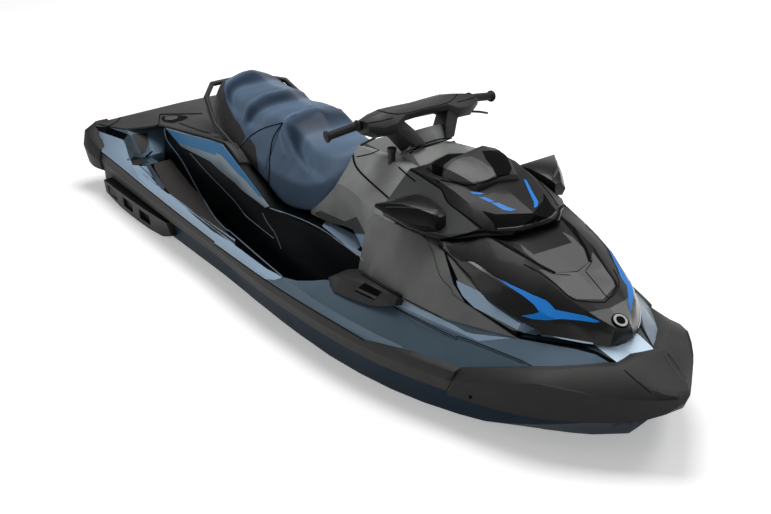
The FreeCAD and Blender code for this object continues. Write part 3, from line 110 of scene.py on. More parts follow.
def add_camera():
    data = bpy.data.cameras.new("camera")
    data.sensor_width = SENSOR_WIDTH
    data.lens = FOCAL_PIXELS / WIDTH * SENSOR_WIDTH
    data.clip_end = FARTHEST_SEEN
    camera = bpy.data.objects.new("camera", data)
    turn = Matrix((RIGHT, UP, -AHEAD)).transposed().to_4x4()
    camera.matrix_world = Matrix.Translation(CAMERA_AT) @ turn
    bpy.context.scene.collection.objects.link(camera)
    bpy.context.scene.camera = camera


# Materials

# Scales count cells in a metre, a bump is (strength, depth in metres), and the pairs of factors
# say how far a colour or a roughness varies around its own value
NOISE_LOW, NOISE_HIGH = 0.3, 0.7
RAMP_START, RAMP_END = 0.35, 0.65
FINE_DETAIL, MEDIUM_DETAIL, COARSE_DETAIL = 2, 3, 4
FLAKE_SCALE, PEEL_SCALE, PEEL_BUMP = 900, 60, (0.04, 0.002)
COAT_ROUGHNESS = 0.08
PAINT_ROUGHNESS = (0.85, 1.2)
MOTTLE_SCALE, GRAIN_SCALE, GRAIN_DEPTH = 9, 700, 0.0006
PLASTIC_ROUGHNESS = (0.9, 1.12)
RUBBER_GRAIN, RUBBER_SCALE, RUBBER_VARIATION = 0.4, 420, 0.15
BRUSH_SCALE, BRUSH_BUMP = 160, (0.08, 0.0005)
METAL_TINT, METAL_ROUGHNESS = (0.88, 1.08), (0.8, 1.3)
PEBBLE_SCALE, PEBBLE_RANDOMNESS, PEBBLE_BUMP = 520.0, 0.9, (0.18, 0.0004)
VINYL_MOTTLE_SCALE, VINYL_VARIATION = 7, 0.08
VINYL_ROUGHNESS = (0.9, 1.15)
SHEEN_WEIGHT, SHEEN_ROUGHNESS = 0.06, 0.4
# Colour factors for the seats' darkest painted shade and brightest painted highlight, and the seats'
# specular level
DARKEST_PAINTED_SHADE, BRIGHTEST_PAINTED_HIGHLIGHT = (0.10, 0.15, 0.22, 1), (2.3, 2.25, 2.2, 1)
PAINTED_LIGHT_SPECULAR = 0.15
GROOVE_SCALE, GROOVE_TINT, GROOVE_BUMP = 22.0, (0.7, 1.1), (0.5, 0.0015)
GROOVE_START, GROOVE_END = 0.1, 0.4
FOAM_SCALE, FOAM_ROUGHNESS = 500, (0.7, 0.9)


class Nodes:
    """A material's node tree, with short calls to add nodes and link them."""

    def __init__(self, name):
        self.material = bpy.data.materials.new(name)
        self.material.use_nodes = True
        self.tree = self.material.node_tree
        self.shader = self.tree.nodes["Principled BSDF"]

    def give(self, socket, value):
        if isinstance(value, bpy.types.NodeSocket):
            self.tree.links.new(value, socket)
        else:
            socket.default_value = value

    def add(self, kind, inputs=None, **settings):
        node = self.tree.nodes.new("ShaderNode" + kind)
        for key, value in settings.items():
            setattr(node, key, value)
        for key, value in (inputs or {}).items():
            self.give(node.inputs[key], value)
        return node

    def set(self, **values):
        for key, value in values.items():
            self.give(self.shader.inputs[key.replace("_", " ")], value)

    def noise(self, scale, detail, stretch=(1, 1, 1)):
        place = self.add("TexCoord").outputs["Object"]
        mapped = self.add("Mapping", {"Vector": place, "Scale": stretch}).outputs["Vector"]
        return self.add("TexNoise", {"Vector": mapped, "Scale": scale, "Detail": detail}).outputs["Fac"]

    def ramp(self, value, low, high, start=RAMP_START, end=RAMP_END):
        node = self.add("ValToRGB", {"Fac": value})
        for element, place, color in zip(node.color_ramp.elements, (start, end), (low, high)):
            element.position = place
            element.color = color
        return node.outputs["Color"]

    def spread(self, value, low, high):
        inputs = {"Value": value, "From Min": NOISE_LOW, "From Max": NOISE_HIGH}
        return self.add("MapRange", {**inputs, "To Min": low, "To Max": high}).outputs["Result"]

    def rough(self, value, roughness, factors):
        return self.spread(value, roughness * factors[0], roughness * factors[1])

    def bump(self, height, strength, distance):
        inputs = {"Height": height, "Strength": strength, "Distance": distance}
        return self.add("Bump", inputs).outputs["Normal"]


def srgb(code):
    """A linear colour from a hexadecimal one."""
    channels = []
    for index in (0, 2, 4):
        c = int(code[index : index + 2], 16) / 255
        channels.append(c / 12.92 if c <= 0.04045 else ((c + 0.055) / 1.055) ** 2.4)
    return (*channels, 1.0)


def shade(color, factor):
    return (*[min(1.0, c * factor) for c in color[:3]], 1.0)


def paint(name, code, roughness, coat, flake, metallic=0.0, specular=0.5):
    """Moulded or sprayed gloss finish with fine flake and slight orange peel."""
    color = srgb(code)
    n = Nodes(name)
    flakes = n.noise(FLAKE_SCALE, FINE_DETAIL)
    n.set(
        Base_Color=n.ramp(flakes, shade(color, 1 - flake), shade(color, 1 + flake)),
        Metallic=metallic,
        Roughness=n.rough(flakes, roughness, PAINT_ROUGHNESS),
        Coat_Weight=coat,
        Coat_Roughness=COAT_ROUGHNESS,
        Specular_IOR_Level=specular,
        Normal=n.bump(n.noise(PEEL_SCALE, FINE_DETAIL), *PEEL_BUMP),
    )
    return n.material


def plastic(name, code, roughness, grain=0.25, scale=GRAIN_SCALE, vary=0.12, specular=0.35):
    """Moulded plastic with a fine leather-like grain and slight mottling."""
    color = srgb(code)
    n = Nodes(name)
    mottle = n.noise(MOTTLE_SCALE, COARSE_DETAIL)
    fine = n.noise(scale, MEDIUM_DETAIL)
    n.set(
        Base_Color=n.ramp(mottle, shade(color, 1 - vary), shade(color, 1 + vary)),
        Roughness=n.rough(fine, roughness, PLASTIC_ROUGHNESS),
        Specular_IOR_Level=specular,
        Normal=n.bump(fine, grain, GRAIN_DEPTH),
    )
    return n.material


def rubber(name, code, roughness):
    return plastic(name, code, roughness, RUBBER_GRAIN, RUBBER_SCALE, RUBBER_VARIATION)


def metal(name, code, roughness, brushed=(1, 1, 1)):
    """Bare or cast metal, with brushing along one axis where it is stretched."""
    color = srgb(code)
    n = Nodes(name)
    lines = n.noise(BRUSH_SCALE, MEDIUM_DETAIL, brushed)
    n.set(
        Base_Color=n.ramp(lines, *[shade(color, factor) for factor in METAL_TINT]),
        Metallic=1.0,
        Roughness=n.rough(lines, roughness, METAL_ROUGHNESS),
        Normal=n.bump(lines, *BRUSH_BUMP),
    )
    return n.material


def vinyl(name, code, roughness=0.42, with_painted_light=False):
    """Marine vinyl over a pebbled grain, with painted shade and painted highlights, darker or paler where
    the mesh says.
    """
    color = srgb(code)
    n = Nodes(name)
    place = n.add("TexCoord").outputs["Object"]
    inputs = {"Vector": place, "Scale": PEBBLE_SCALE, "Randomness": PEBBLE_RANDOMNESS}
    cells = n.add("TexVoronoi", inputs).outputs["Distance"]
    mottle = n.noise(VINYL_MOTTLE_SCALE, COARSE_DETAIL)
    base = n.ramp(mottle, shade(color, 1 - VINYL_VARIATION), shade(color, 1 + VINYL_VARIATION))
    if with_painted_light:
        # Painted shade and painted highlights, darker or paler as stored on the seat's mesh
        painted_light = n.add("Attribute", attribute_name="painted_light").outputs["Fac"]
        inputs = {"Factor": 1.0, 6: base, 7: n.ramp(painted_light, DARKEST_PAINTED_SHADE, BRIGHTEST_PAINTED_HIGHLIGHT, 0.0, 1.0)}
        base = n.add("Mix", inputs, data_type="RGBA", blend_type="MULTIPLY").outputs[2]
        n.set(Specular_IOR_Level=PAINTED_LIGHT_SPECULAR)
    n.set(
        Base_Color=base,
        Roughness=n.rough(cells, roughness, VINYL_ROUGHNESS),
        Sheen_Weight=SHEEN_WEIGHT,
        Sheen_Roughness=SHEEN_ROUGHNESS,
        Normal=n.bump(cells, *PEBBLE_BUMP),
    )
    return n.material


def tread(name, code):
    """Foam traction mat: rows of fine moulded grooves."""
    color = srgb(code)
    n = Nodes(name)
    inputs = {"Vector": n.add("TexCoord").outputs["Object"], "Scale": GROOVE_SCALE, "Distortion": 0.0}
    bands = {"wave_type": "BANDS", "bands_direction": "X", "wave_profile": "SIN"}
    rows = n.add("TexWave", inputs, **bands).outputs["Fac"]
    fine = n.noise(FOAM_SCALE, MEDIUM_DETAIL)
    both = n.add("Math", {0: rows, 1: fine}, operation="ADD").outputs["Value"]
    tints = [shade(color, factor) for factor in GROOVE_TINT]
    n.set(
        Base_Color=n.ramp(rows, *tints, GROOVE_START, GROOVE_END),
        Roughness=n.spread(fine, *FOAM_ROUGHNESS),
        Normal=n.bump(both, *GROOVE_BUMP),
    )
    return n.material


# Paints as (name, colour, roughness, coat, flake, metallic), the others as (name, colour, roughness, grain)
HULL_BLUE = paint("hull_blue", "1c2d3b", 0.45, 0.0, 0.10, 0.1, specular=0.12)
DECK_BLUE = paint("deck_blue", "4a5d6b", 0.45, 0.1, 0.10, 0.15, specular=0.3)
# Paler copy of the deck blue, for painted light on upward faces
LEDGE_LIT_BLUE = paint("ledge_lit_blue", "5f7588", 0.42, 0.2, 0.10, 0.15)
# Pale copy of the deck blue for painted highlights and painted light on lit faces
HIGHLIGHT_PAINT_BLUE = paint("highlight_paint_blue", "93aac0", 0.42, 0.15, 0.08, 0.15, specular=0.35)
DEEP_BLUE = paint("deep_blue", "2c3944", 0.4, 0.2, 0.10, 0.15)
GLOSS_BLACK = paint("gloss_black", "010305", 0.35, 0.0, 0.15, specular=0.06)
HOOD_BLACK = paint("hood_black", "0b0b0d", 0.28, 0.2, 0.15, specular=0.35)
HOOD_GREY = paint("hood_charcoal", "161618", 0.42, 0.05, 0.12, specular=0.14)
# Paler grey for painted light on the hood's recess facets and a painted highlight on the lid's lip
HOOD_HIGHLIGHT_GREY = paint("hood_highlight_grey", "48484a", 0.42, 0.1, 0.10, specular=0.4)
STRIPE_BLUE = paint("stripe_blue", "0078d0", 0.5, 0.0, 0.05, specular=0.3)
BAND_BLUE = paint("band_blue", "2479b0", 0.45, 0.1, 0.06, specular=0.3)
PALE_PANEL = paint("pale_panel", "81909b", 0.4, 0.2, 0.08, 0.15)
GREY_PANEL = plastic("grey_panel", "666866", 0.5, 0.12)
DARK_PANEL = plastic("dark_panel", "363838", 0.5, 0.12)
CONSOLE_GREY = plastic("console_grey", "838583", 0.5, 0.12)
LID_PANEL = plastic("lid_panel", "3c3d3d", 0.5, 0.12)
BUMPER_BLACK = rubber("bumper_black", "232221", 0.6)
TRIM_BLACK = plastic("trim_black", "1d1d1e", 0.48, 0.2)
SEAM_BLACK = plastic("seam_black", "030304", 0.7, specular=0.05)
PLATFORM_GREY = plastic("platform_grey", "3d3c3d", 0.62, 0.3, 300)
MAT = tread("mat", "2f2c2a")
LINER = plastic("liner", "3b3b3b", 0.7)
# Seat vinyl with painted shade in the bowls and painted highlights along their edges
SEAT_VINYL = vinyl("seat_vinyl", "495b6f", with_painted_light=True)
SEAT_INSERT = vinyl("seat_insert", "1a1918", 0.65)
ENGINE_METAL = metal("engine_metal", "77797b", 0.5)
PUMP_METAL = metal("pump_metal", "9a9b9c", 0.38)
STEEL = metal("steel", "c8cacc", 0.22, (1, 12, 1))
MIRROR_BLACK = paint("mirror_black", "0b0b0d", 0.34, 0.1, 0.15, specular=0.2)
DOME_GREY = plastic("dome_grey", "454547", 0.45, 0.1)
# Pale colour of the painted highlights along the footwell's edges
EDGE_HIGHLIGHT = paint("edge_highlight", "7d8b99", 0.3, 0.4, 0.05, 0.3)
# Paler still, for painted highlights on the bow
BOW_HIGHLIGHT = paint("bow_highlight", "c6dcf0", 0.36, 0.2, 0.08, 0.15)
BUMPER_SHADE = rubber("bumper_shade", "141413", 0.65)
BADGE_PALE = plastic("badge_pale", "a9acae", 0.4, 0.05)
GRIP_RUBBER = rubber("grip_rubber", "121213", 0.7)

NODE_MATERIALS = {
    name: material
    for material, names in (
        (HULL_BLUE, ["hull"]),
        (ENGINE_METAL, ["engine"]),
        (GLOSS_BLACK, ["pedestal", "footwell_mats"]),
        (DECK_BLUE, ["stern_deck", "bow_deck", "gunwale_port", "gunwale_starboard"]),
        (LINER, ["front_bin"]),
        (BUMPER_BLACK, ["front_bumper", "stern_bumpers", "rub_rail_port", "rub_rail_starboard"]),
        (PLATFORM_GREY, ["platform_cover"]),
        (HOOD_GREY, ["hood", "storage_lid"]),
        (CONSOLE_GREY, ["console"]),
        (
            GREY_PANEL,
            ["neck_base", "glovebox_lid", "neck_cover", "side_fairing_port", "side_fairing_starboard"],
        ),
        (
            TRIM_BLACK,
            ["key_post", "grab_handle", "gauge", "handlebar", "pod", "levers", "deck_vents", "sponsons"],
        ),
        (SEAT_VINYL, ["seat_front", "seat_rear"]),
        (MIRROR_BLACK, ["mirrors"]),
        (GRIP_RUBBER, ["grips"]),
        (PUMP_METAL, ["pump_housing", "steering_nozzle", "reverse_bucket", "intake_grate", "ride_plate"]),
        (STEEL, ["impeller", "boarding_step", "step_brackets", "bow_eye", "stern_eyes"]),
        (PALE_PANEL, ["accent_panels"]),
    )
    for name in names
}

# Edges of the solids

WELD_GAP = 0.0002
FLAT_ANGLE = math.radians(1.5)
SHARP_ANGLE = math.radians(24)
EDGE_ROUNDING, EDGE_SEGMENTS = 0.0022, 2


def dress_nodes():
    """Gives every solid its material and rounded edges."""
    for name, obj in NODES.items():
        obj.data.materials.clear()
        obj.data.materials.append(NODE_MATERIALS[name])
        for polygon in obj.data.polygons:
            polygon.use_smooth = True
        weld = obj.modifiers.new("weld", "WELD")
        weld.merge_threshold = WELD_GAP
        merge = obj.modifiers.new("merge", "DECIMATE")
        merge.decimate_type = "DISSOLVE"
        merge.angle_limit = FLAT_ANGLE
        bevel = obj.modifiers.new("bevel", "BEVEL")
        bevel.width = EDGE_ROUNDING
        bevel.segments = EDGE_SEGMENTS
        bevel.limit_method = "ANGLE"
        bevel.angle_limit = SHARP_ANGLE
        bevel.harden_normals = True


# Outlines in the photograph

ENLARGED_SIDE = 1568
CURVE_STEPS = 4
CIRCLE_SIDES = 28


def zoomed(x0, y0, width):
    """Points read in an enlargement of the photograph, in the photograph's own pixels."""
    scale = width / ENLARGED_SIDE
    return lambda *points: [(x0 + scale * x, y0 + scale * y) for x, y in points]


BOW = zoomed(430, 190, 230)
COWL = zoomed(335, 85, 240)
SEAT = zoomed(200, 60, 165)
STERN = zoomed(75, 95, 160)
MIDDLE = zoomed(215, 190, 240)
NOSE = zoomed(520, 270, 185)


def is_inside(point, outline):
    x, y = point
    found = False
    for (ax, ay), (bx, by) in zip(outline, outline[1:] + outline[:1]):
        if (ay > y) != (by > y) and x < (bx - ax) * (y - ay) / (by - ay) + ax:
            found = not found
    return found


def between(t, a, b, c, d):
    """A smooth way from b, where t is 0, to c, where t is 1."""
    return 0.5 * (2 * b + (c - a) * t + (2 * a - 5 * b + 4 * c - d) * t * t + (3 * b - a - 3 * c + d) * t**3)


def curved(points):
    """A smooth line through the points."""
    last = len(points) - 1
    made = []
    for index in range(last):
        four = [points[min(max(index + offset, 0), last)] for offset in (-1, 0, 1, 2)]
        for step in range(CURVE_STEPS):
            made.append(tuple(between(step / CURVE_STEPS, *values) for values in zip(*four)))
    return made + [points[-1]]


def ribbon(points, width):
    """The outline of a line that is as wide as given, in pixels."""
    left, right = [], []
    last = len(points) - 1
    for index, (x, y) in enumerate(points):
        ax, ay = points[max(index - 1, 0)]
        bx, by = points[min(index + 1, last)]
        length = math.hypot(bx - ax, by - ay) or 1
        half = width / 2
        nx, ny = (ay - by) / length * half, (bx - ax) / length * half
        left.append((x + nx, y + ny))
        right.append((x - nx, y - ny))
    return left + right[::-1]


def circle(x, y, radius):
    turns = [2 * math.pi * side / CIRCLE_SIDES for side in range(CIRCLE_SIDES)]
    return [(x + radius * math.cos(turn), y + radius * math.sin(turn)) for turn in turns]


# Panels and seams, cut from the surface that the photograph shows them on

HIDDEN_DEPTH = 0.004
CUT_TOLERANCE = 1e-7
SHORTEST = 1e-9
EVEN_REACH = 0.05
AS_SEEN, STARBOARD, PORT = 0, 1, -1


def source_mesh(sources):
    bm = bmesh.new()
    for source in sources:
        data = NODES[source].data if isinstance(source, str) else source.data
        bm.from_mesh(data)
    bmesh.ops.remove_doubles(bm, verts=bm.verts, dist=WELD_GAP)
    bm.normal_update()
    return bm


def slice_at(bm, place, normal, **options):
    everything = bm.verts[:] + bm.edges[:] + bm.faces[:]
    bmesh.ops.bisect_plane(
        bm, geom=everything, dist=CUT_TOLERANCE, plane_co=place, plane_no=normal, **options
    )


def keep_faces(bm, is_kept):
    drop = [face for face in bm.faces if not is_kept(face)]
    bmesh.ops.delete(bm, geom=drop, context="FACES")


def cut_outline(sources, outline, side):
    """The part of the sources' surface that the outline covers in the photograph."""
    bm = source_mesh(sources)
    tree = BVHTree.FromBMesh(bm)
    low = [min(p[k] for p in outline) for k in (0, 1)]
    high = [max(p[k] for p in outline) for k in (0, 1)]

    def is_near(face):
        pixels = [seen_at(vert.co) for vert in face.verts]
        if any(max(p[k] for p in pixels) < low[k] or min(p[k] for p in pixels) > high[k] for k in (0, 1)):
            return False
        if face.normal.dot(CAMERA_AT - face.calc_center_median()) <= 0:
            return False
        return not all(vert.co.y * side > 0 for vert in face.verts)

    def is_seen(face):
        away = face.calc_center_median() - CAMERA_AT
        if not is_inside(seen_at(face.calc_center_median()), outline):
            return False
        hit = tree.ray_cast(CAMERA_AT, away.normalized())[3]
        return hit is None or hit >= away.length - HIDDEN_DEPTH

    keep_faces(bm, is_near)
    if side:
        slice_at(bm, (0, 0, 0), (0, side, 0), clear_outer=True)
    for a, b in zip(outline, outline[1:] + outline[:1]):
        normal = ray(*a).cross(ray(*b))
        if normal.length > SHORTEST:
            slice_at(bm, CAMERA_AT, normal.normalized())
    keep_faces(bm, is_seen)
    bm.normal_update()
    return bm


def even_normals(mesh):
    """Shades the mesh by the average direction of its faces around each corner."""
    centers = np.array([face.center for face in mesh.polygons])
    facing = np.array([face.normal * face.area for face in mesh.polygons])
    found = []
    for vert in mesh.vertices:
        near = np.exp(-((centers - np.array(vert.co)) ** 2).sum(axis=1) / EVEN_REACH**2)
        total = (facing * near[:, None]).sum(axis=0)
        found.append(tuple(total / (np.linalg.norm(total) or 1.0)))
    mesh.normals_split_custom_set_from_vertices(found)


def add_mesh(name, bm, material, body, even=False):
    """Makes an object of the mesh, with its creases sharp, and lets it ride on a body."""
    for edge in bm.edges:
        edge.smooth = not (len(edge.link_faces) == 2 and edge.calc_face_angle(0) > SHARP_ANGLE)
    for face in bm.faces:
        face.smooth = True
    mesh = bpy.data.meshes.new(name)
    bm.to_mesh(mesh)
    bm.free()
    if even:
        even_normals(mesh)
    piece = bpy.data.objects.new(name, mesh)
    bpy.context.scene.collection.objects.link(piece)
    mesh.materials.append(material)
    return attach(piece, body)


def add_mirror_image(bm):
    copy = bmesh.ops.duplicate(bm, geom=bm.verts[:] + bm.edges[:] + bm.faces[:])["geom"]
    faces = [item for item in copy if isinstance(item, bmesh.types.BMFace)]
    for item in copy:
        if isinstance(item, bmesh.types.BMVert):
            item.co.y = -item.co.y
    bmesh.ops.reverse_faces(bm, faces=faces)


def panel(
    name, sources, outline, material, body=HULL, slot="trim_black", lift=0.0008, side=STARBOARD, even=False
):
    """A thin skin over the outline as seen, or over its part on one side and that part's mirror image."""
    bm = cut_outline(sources, outline, side)
    for vert in bm.verts:
        vert.co += vert.normal * lift
    if side != AS_SEEN:
        add_mirror_image(bm)
    return add_mesh(name, bm, material, body, even)


def seam(name, sources, points, width=0.9, material=SEAM_BLACK, lift=0.0012, **options):
    """A line on the surface, dark where two mouldings meet; some of these lines are painted highlights along
    edges and painted shade along a crease.
    """
    return panel(name, sources, ribbon(curved(points), width), material, lift=lift, **options)


# Seats: the CAD cushions, rounded and sculpted

SEAT_VOXEL = 0.006
SMOOTHING_SHARE, SEAT_ROUNDS = 0.5, 24
SEAT_AXIS_HEIGHT = 0.42
# Lines across the seats as (place along the boat, degrees from the top), from the middle outwards
BACK_EDGE = ((-1.09, 0), (-1.11, 18), (-1.096, 36), (-1.036, 50), (-0.967, 58), (-0.90, 66))
BACK_TOE = ((-0.945, 0), (-0.975, 12), (-1.012, 23), (-1.022, 33), (-1.005, 45), (-0.955, 56), (-0.90, 64))
MIDDLE_EDGE = ((-0.80, 0), (-0.83, 10), (-0.862, 20), (-0.874, 34), (-0.874, 50), (-0.857, 64), (-0.82, 76))
MIDDLE_TOE = ((-0.695, 0), (-0.712, 8), (-0.735, 15), (-0.768, 27), (-0.792, 42), (-0.812, 55), (-0.81, 70))
FRONT_EDGE = (
    (-0.575, 0), (-0.595, 12), (-0.612, 27), (-0.592, 42), (-0.504, 59), (-0.432, 72), (-0.347, 81),
    (-0.259, 90),
)
FRONT_TOE = (
    (-0.425, 0), (-0.435, 15), (-0.449, 32), (-0.450, 45), (-0.435, 58), (-0.395, 68), (-0.335, 76),
    (-0.259, 85),
)
FRONT_FOLD = ((-0.600, 47), (-0.578, 56), (-0.535, 67), (-0.47, 78))
# Each bowl's edge, toe, depth and the length over which it runs out in front of its toe
BOWLS = (
    (BACK_EDGE, BACK_TOE, 0.012, 0.09),
    (MIDDLE_EDGE, MIDDLE_TOE, 0.016, 0.07),
    (FRONT_EDGE, FRONT_TOE, 0.014, 0.10),
)
BOWL_END_TURN, BOWL_END_LENGTH, SHORTEST_BOWL = 14, 0.03, 0.01
LIP_RISE, LIP_WIDTH = 0.003, 0.009
FOLD_RISE, FOLD_WIDTH, FOLD_END = 0.005, 0.010, 0.3
# Faces that look down beyond the first value keep their shape, and the second is the way to full relief
UNDERSIDE, UNDERSIDE_BLEND = -0.35, 0.5
# Rounding of the tops away from the joint between the seats, and of the rear seat's crown
TOP_FROM, TOP_BLEND, JOIN_BLEND, TOP_ROUNDS = 0.46, 0.08, 0.07, 45
CROWN_X, CROWN_Z, CROWN_LENGTH, CROWN_HEIGHT, CROWN_ROUNDS = -0.98, 0.56, 0.08, 0.10, 60
# Painted light on the seats, from painted shade at 0 to painted highlight at 1, with the widths over which
# it fades
MEAN_PAINTED_LIGHT = 0.46
EDGE_PAINTED_HIGHLIGHT, EDGE_PAINTED_HIGHLIGHT_WIDTH = 0.16, 0.011
TOE_PAINTED_HIGHLIGHT, TOE_PAINTED_HIGHLIGHT_WIDTH = 0.12, 0.016
WALL_PAINTED_SHADE, WALL_PAINTED_SHADE_POWER = 0.38, 0.7
BOWL_PAINTED_HIGHLIGHT, BOWL_PAINTED_HIGHLIGHT_PLACE, BOWL_PAINTED_HIGHLIGHT_WIDTH = 0.12, 0.06, 0.05


def rounded_mesh(node):
    """A CAD node's shape in even small faces, with its edges softened."""
    source = bpy.data.objects.new("source", NODES[node].data.copy())
    bpy.context.scene.collection.objects.link(source)
    weld = source.modifiers.new("weld", "WELD")
    weld.merge_threshold = WELD_GAP
    remesh = source.modifiers.new("remesh", "REMESH")
    remesh.mode = "VOXEL"
    remesh.voxel_size = SEAT_VOXEL
    smooth = source.modifiers.new("smooth", "SMOOTH")
    smooth.factor = SMOOTHING_SHARE
    smooth.iterations = SEAT_ROUNDS
    graph = bpy.context.evaluated_depsgraph_get()
    mesh = bpy.data.meshes.new_from_object(source.evaluated_get(graph))
    bpy.data.objects.remove(source)
    return mesh


def vertex_values(mesh, kind):
    """The places or the normals of the mesh's corners, one row each."""
    values = np.zeros(len(mesh.vertices) * 3)
    mesh.vertices.foreach_get(kind, values)
    return values.reshape(-1, 3)


def nearest_on(points, line):
    """Each point's distance to the line, and how far along it the nearest place is, from 0 to 1."""
    best = np.full(len(points), np.inf)
    along = np.zeros(len(points))
    lengths = [np.linalg.norm(b - a) for a, b in zip(line, line[1:])]
    total = sum(lengths) or 1.0
    before = 0.0
    for a, b, length in zip(line, line[1:], lengths):
        if length < SHORTEST:
            continue
        step = b - a
        share = np.clip((points - a) @ step / length**2, 0, 1)
        distance = np.linalg.norm(points - (a + share[:, None] * step), axis=1)
        closer = distance < best
        best[closer] = distance[closer]
        along[closer] = (before + share[closer] * length) / total
        before += length
    return best, along


def seat_line(tree, points, whole=True):
    """The places where the line lies on the seats, on both sides or on starboard alone."""
    points = [(x, float(turn)) for x, turn in points]
    if whole:
        points = [(x, -turn) for x, turn in points[:0:-1]] + points
    line = []
    for x, turn in curved(points):
        across, up = math.sin(math.radians(turn)), math.cos(math.radians(turn))
        start = Vector((x, -across, SEAT_AXIS_HEIGHT + up))
        spot = tree.ray_cast(start, Vector((0, across, -up)))[0]
        if spot is not None:
            line.append(np.array(spot))
    return line


def across_line(line, turns):
    """The line's place along the boat at each angle from the top."""
    line = curved([(x, float(turn)) for x, turn in line])
    return np.interp(turns, [turn for _, turn in line], [x for x, _ in line])


def relax(mesh, weight, rounds):
    """Rounds a mesh further where the weight says."""
    points = vertex_values(mesh, "co")
    edges = np.zeros(len(mesh.edges) * 2, dtype=np.int32)
    mesh.edges.foreach_get("vertices", edges)
    edges = edges.reshape(-1, 2)
    counts = np.bincount(edges.ravel(), minlength=len(points))
    for _ in range(rounds):
        total = np.zeros_like(points)
        np.add.at(total, edges[:, 0], points[edges[:, 1]])
        np.add.at(total, edges[:, 1], points[edges[:, 0]])
        points += SMOOTHING_SHARE * weight[:, None] * (total / counts[:, None] - points)
    mesh.vertices.foreach_set("co", points.ravel())
    mesh.update()


def eased(values):
    """A soft step from 0, where the values are 0, to 1, where they are 1."""
    values = np.clip(values, 0, 1)
    return values * values * (3 - 2 * values)


def bell(distance, reach):
    """1 at no distance, fading to nothing beyond the reach."""
    return np.exp(-((distance / reach) ** 2))


def sculpt(tree, mesh):
    """Sinks the bowls between their edge and toe lines, raises the folds, and stores painted shade on the
    bowls' walls and painted highlights along their edges, toes and the folds.
    """
    points = vertex_values(mesh, "co")
    outward = vertex_values(mesh, "normal")
    turns = np.degrees(np.arctan2(np.abs(points[:, 1]), points[:, 2] - SEAT_AXIS_HEIGHT))
    height = np.zeros(len(points))
    painted_light = np.full(len(points), MEAN_PAINTED_LIGHT)
    for edge_points, toe_points, depth, reach in BOWLS:
        to_edge = nearest_on(points, seat_line(tree, edge_points))[0]
        to_toe = nearest_on(points, seat_line(tree, toe_points))[0]
        edge_x = across_line(edge_points, turns)
        toe_x = across_line(toe_points, turns)
        last = min(edge_points[-1][1], toe_points[-1][1])
        fade = eased((last - turns) / BOWL_END_TURN) * eased((toe_x - edge_x) / BOWL_END_LENGTH)
        step = (points[:, 0] - edge_x) / np.maximum(toe_x - edge_x, SHORTEST_BOWL)
        beyond = np.maximum(points[:, 0] - toe_x, 0)
        lip = LIP_RISE * bell(to_edge, LIP_WIDTH)
        height += (lip - depth * (eased(step) * bell(beyond, reach))) * fade
        # Painted shade on each bowl's wall, painted highlights along its edge, its toe and beyond the toe
        wall = np.where((step > 0) & (step < 1), np.sin(np.pi * np.clip(step, 0, 1)), 0) ** WALL_PAINTED_SHADE_POWER
        lines = EDGE_PAINTED_HIGHLIGHT * bell(to_edge, EDGE_PAINTED_HIGHLIGHT_WIDTH) + TOE_PAINTED_HIGHLIGHT * bell(to_toe, TOE_PAINTED_HIGHLIGHT_WIDTH)
        painted_light += (lines - WALL_PAINTED_SHADE * wall) * fade
        painted_light += BOWL_PAINTED_HIGHLIGHT * bell(beyond - BOWL_PAINTED_HIGHLIGHT_PLACE, BOWL_PAINTED_HIGHLIGHT_WIDTH) * (beyond > 0) * fade
    for side in (1, -1):
        fold = [spot * (1, side, 1) for spot in seat_line(tree, FRONT_FOLD, whole=False)]
        distance, along = nearest_on(points, fold)
        near = bell(distance, FOLD_WIDTH) * eased((1 - along) / FOLD_END) * eased(along / FOLD_END)
        painted_light += EDGE_PAINTED_HIGHLIGHT * near
        height += FOLD_RISE * near
    height *= np.clip((outward[:, 2] - UNDERSIDE) / UNDERSIDE_BLEND, 0, 1)
    points += outward * height[:, None]
    mesh.vertices.foreach_set("co", points.ravel())
    values = mesh.attributes.new("painted_light", "FLOAT", "POINT")
    values.data.foreach_set("value", np.clip(painted_light, 0, 1).astype(np.float32))
    mesh.update()


def sculpted_meshes():
    """The two cushions' meshes, rounded first and then sculpted as one shape."""
    meshes = {node: rounded_mesh(node) for node in ("seat_front", "seat_rear")}
    for node, mesh in meshes.items():
        along, _, up = vertex_values(mesh, "co").T
        join = along.max() if node == "seat_rear" else along.min()
        top = eased((up - TOP_FROM) / TOP_BLEND) * eased(np.abs(along - join) / JOIN_BLEND)
        relax(mesh, top, TOP_ROUNDS)
    along, _, up = vertex_values(meshes["seat_rear"], "co").T
    crown = eased((up - CROWN_Z) / CROWN_HEIGHT) * eased((CROWN_X - along) / CROWN_LENGTH)
    relax(meshes["seat_rear"], crown, CROWN_ROUNDS)
    bm = bmesh.new()
    for mesh in meshes.values():
        bm.from_mesh(mesh)
    tree = BVHTree.FromBMesh(bm)
    bm.free()
    for mesh in meshes.values():
        sculpt(tree, mesh)
    return meshes


def make_seats():
    covers = []
    for node, mesh in sculpted_meshes().items():
        mesh.name = node + "_cover"
        for polygon in mesh.polygons:
            polygon.use_smooth = True
        mesh.materials.clear()
        mesh.materials.append(SEAT_VINYL)
        cover = bpy.data.objects.new(node + "_cover", mesh)
        bpy.context.scene.collection.objects.link(cover)
        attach(cover, HULL)
        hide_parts(node)
        covers.append(cover)
    dress_seats(*covers)


